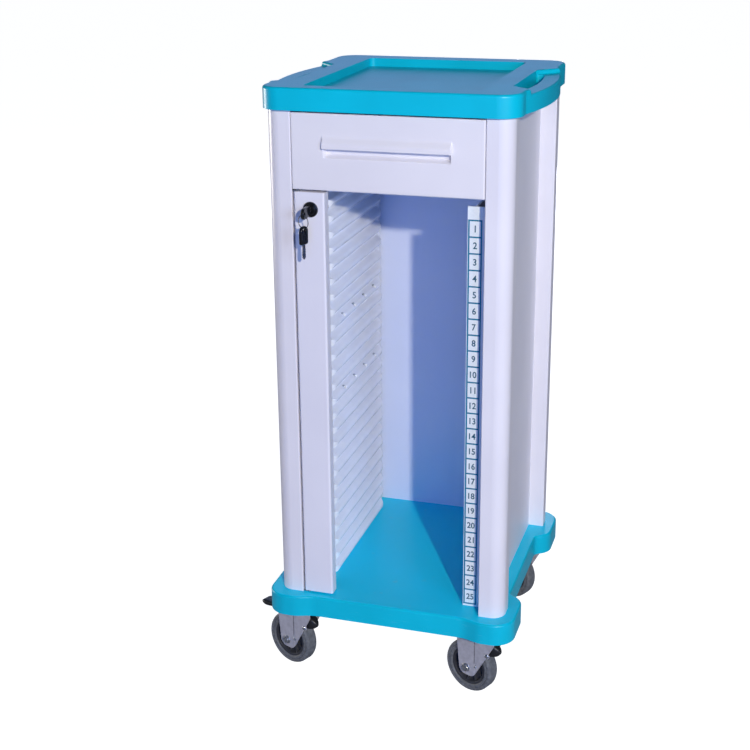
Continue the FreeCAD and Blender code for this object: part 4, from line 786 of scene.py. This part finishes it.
# Nickel on brass: half bright grey, drawn in lines 0.6 mm apart along the blade of the key in the lock.
nickel, tree, mm = new_material("nickel_plated_brass")
drawn = noise(tree, mm, 0.6, 2, stretch=(1, 12, 1))
tone = blend(tree, (drawn, "Fac"), 0.3, 0.7, linear("#77767A"), linear("#96949A"))
gloss = spread(tree, (drawn, "Fac"), 0.3, 0.7, 0.18, 0.32)
finish_shader(tree, (tone, "Color"), (gloss, "Result"), Metallic=1.0)

# Blued spring steel wire for the ring: dark, half bright, with scale marks about 1 mm apart.
ring_wire, tree, mm = new_material("blued_spring_wire")
scale_marks = noise(tree, mm, 1.0, 2)
tone = blend(tree, (scale_marks, "Fac"), 0.3, 0.7, linear("#55565C"), linear("#74757B"))
gloss = spread(tree, (scale_marks, "Fac"), 0.3, 0.7, 0.25, 0.4)
finish_shader(tree, (tone, "Color"), (gloss, "Result"), Metallic=1.0)
dress(["key_ring"], ring_wire)
dress(["lock_plug"], lock_black)
dress(["lock_cam", "lock_nut", "hinge_pins"], zinc)

lock_low, lock_high = (np.array(end) * 1000 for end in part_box("lock_barrel"))
lock_x, lock_z = (lock_low[0] + lock_high[0]) / 2, (lock_low[2] + lock_high[2]) / 2
lock_front = lock_low[1]
head_length, head_width, head_thick, head_taper, head_round, hole_round = 31.0, 20.0, 5.5, 1.2, 1.6, 1.3
head_start = lock_front - 8.0
hole_place, hole_radius = 5.5, 3.4
blade_from, blade_to, blade_half, blade_thick_half, collar_step = -8.0, 25.0, 4.0, 1.08, 1.1
cut_pitch, cut_depth, cut_from = 4.2, 0.75, 8.6
tip_from, tip_to, tip_power = 20.5, 25.2, 1.4
ring_radius, ring_slack = 11.0, 1.6
ring_drop = 2 * ring_radius + 2 * ring_slack
spare_turn = math.radians(-18.0)
plug_bore, barrel_radius, flange_back = 6.56, 9.5, 3.0


def bezel():
    """The barrel and its flange, a closed (radius, depth) outline turned about the lock's axis: a rounded rim, a
    dished face and a raised lip round the plug."""
    barrel_end = lock_high[1] - lock_front
    outline = rounded([(plug_bore, 0.3, 0.2), (7.7, 0.1, 0.5), (8.3, 1.5, 0.5), (9.6, 1.5, 0.7),
                       (10.9, 0.0, 0.9), (12.4, 0.0, 1.2), (13.2, 1.6, 0.8), (13.2, flange_back, 0.2),
                       (barrel_radius, flange_back, 0.2), (barrel_radius, barrel_end, 0.4),
                       (plug_bore, barrel_end, 0.2)])
    angle = np.linspace(0, 2 * np.pi, 72, endpoint=False)[:, None]
    r, depth = outline[:, 0][None, :], outline[:, 1][None, :]
    x, z = lock_x + r * np.cos(angle), lock_z + r * np.sin(angle)
    return skin(np.stack([x, lock_front + depth + 0 * angle, z], -1), close_rows=True)


solid_piece("lock_bezel", "door", [bezel()], lock_black, ["lock_barrel"], sharp=50)


def key_head():
    """A moulded head in (along, across, thick) from its end. Loops run from the outline to the hole and back: each is
    the outline drawn in towards the hole by some distance. The edges are quarter circles."""
    wide, narrow = head_width / 2, head_width / 2 - head_taper
    edge = rounded([(0.0, -wide, 9.0), (head_length, -narrow, 3.0), (head_length, narrow, 3.0),
                    (0.0, wide, 9.0)], 15)
    way = np.array([hole_place, 0.0]) - edge
    reach = np.linalg.norm(way, axis=1) - hole_radius
    way /= np.linalg.norm(way, axis=1, keepdims=True)
    a = np.linspace(0, np.pi / 2, 6)
    half = head_thick / 2
    rim_in, rim_up = head_round * (1 - np.cos(a)), half - head_round + head_round * np.sin(a)
    hole_in, hole_up = hole_round * (1 - np.cos(a)), half - hole_round + hole_round * np.sin(a)
    inward = np.concatenate([rim_in[:, None] + 0 * reach, reach - hole_in[::-1, None]])
    height = np.concatenate([rim_up, hole_up[::-1]])
    inward = np.concatenate([inward, inward[::-1]])
    height = np.concatenate([height, -height[::-1]])[:, None] + 0 * reach
    flat = edge[None] + way[None] * inward[..., None]
    return np.stack([flat[..., 0], flat[..., 1], height], -1)


def key_blade():
    """A double-sided blade in (along, across, thick): a narrow collar, then raised cosine cuts in both edges, a
    milled groove on each face, and a pointed tip, where its half width is multiplied by the root of
    1 - step^tip_power."""
    along = np.linspace(blade_from, blade_to, 120)[:, None]
    wave = 0.5 - 0.5 * np.cos(2 * np.pi * (along - cut_from) / cut_pitch)
    cuts = cut_depth * wave * step(along, cut_from, 10.0)
    half = blade_half - collar_step * step(along, 0.5, 1.5) * (1 - step(along, 7.6, 8.4)) - cuts
    half = half * np.sqrt(np.clip(1 - step(along, tip_from, tip_to) ** tip_power, 0.02, 1))
    upper = np.array([(-1, 0.55), (-0.9, 1), (-0.32, 1), (-0.25, 0.55),
                      (0.25, 0.55), (0.32, 1), (0.9, 1), (1, 0.55)])
    loop = np.concatenate([upper, -upper])
    across = half * loop[:, 0][None, :]
    thick = blade_thick_half * loop[:, 1][None, :] + 0 * along
    return np.stack([along + 0 * across, across, thick], -1)


def in_lock(grid, start):
    """(along, across, thick) to the key in the lock: along is +Y from start, across is Z, thick is X."""
    return np.stack([lock_x + grid[..., 2], start + grid[..., 0], lock_z + grid[..., 1]], -1)


def hanging(grid):
    """The key in the lock turned blade down about its hole, turned spare_turn about Z and let down by ring_drop."""
    hole_y = head_start - head_length + hole_place
    x, y, z = grid[..., 0] - lock_x, grid[..., 1] - hole_y, grid[..., 2] - lock_z
    y, z = z, -y
    c, v = math.cos(spare_turn), math.sin(spare_turn)
    return np.stack([lock_x + c * x - v * y, hole_y + v * x + c * y, lock_z - ring_drop + z], -1)


head = in_lock(key_head(), head_start - head_length)
blade = in_lock(key_blade(), head_start)
spare_head, spare_blade = hanging(head), hanging(blade)
solid_piece("key_head", "lock", [skin(head, close_rows=True)], key_acetal, ["key_bow"], sharp=60)
solid_piece("key_cut_blade", "lock", [skin(blade)], nickel, ["key_blade"], sharp=40)
solid_piece("spare_key_head", "spare_key", [skin(spare_head, close_rows=True)], key_acetal, ["spare_key_bow"],
            sharp=60)
solid_piece("spare_key_cut_blade", "spare_key", [skin(spare_blade)], nickel, ["spare_key_blade"], sharp=40)

# ---- top cap ----
# One ABS moulding with a sunk tray and a handle each side, screwed down from the top frame. It is the base's cyan,
# without the rub marks and the painted lighter top.
dress(["top_cap"], cap_abs)
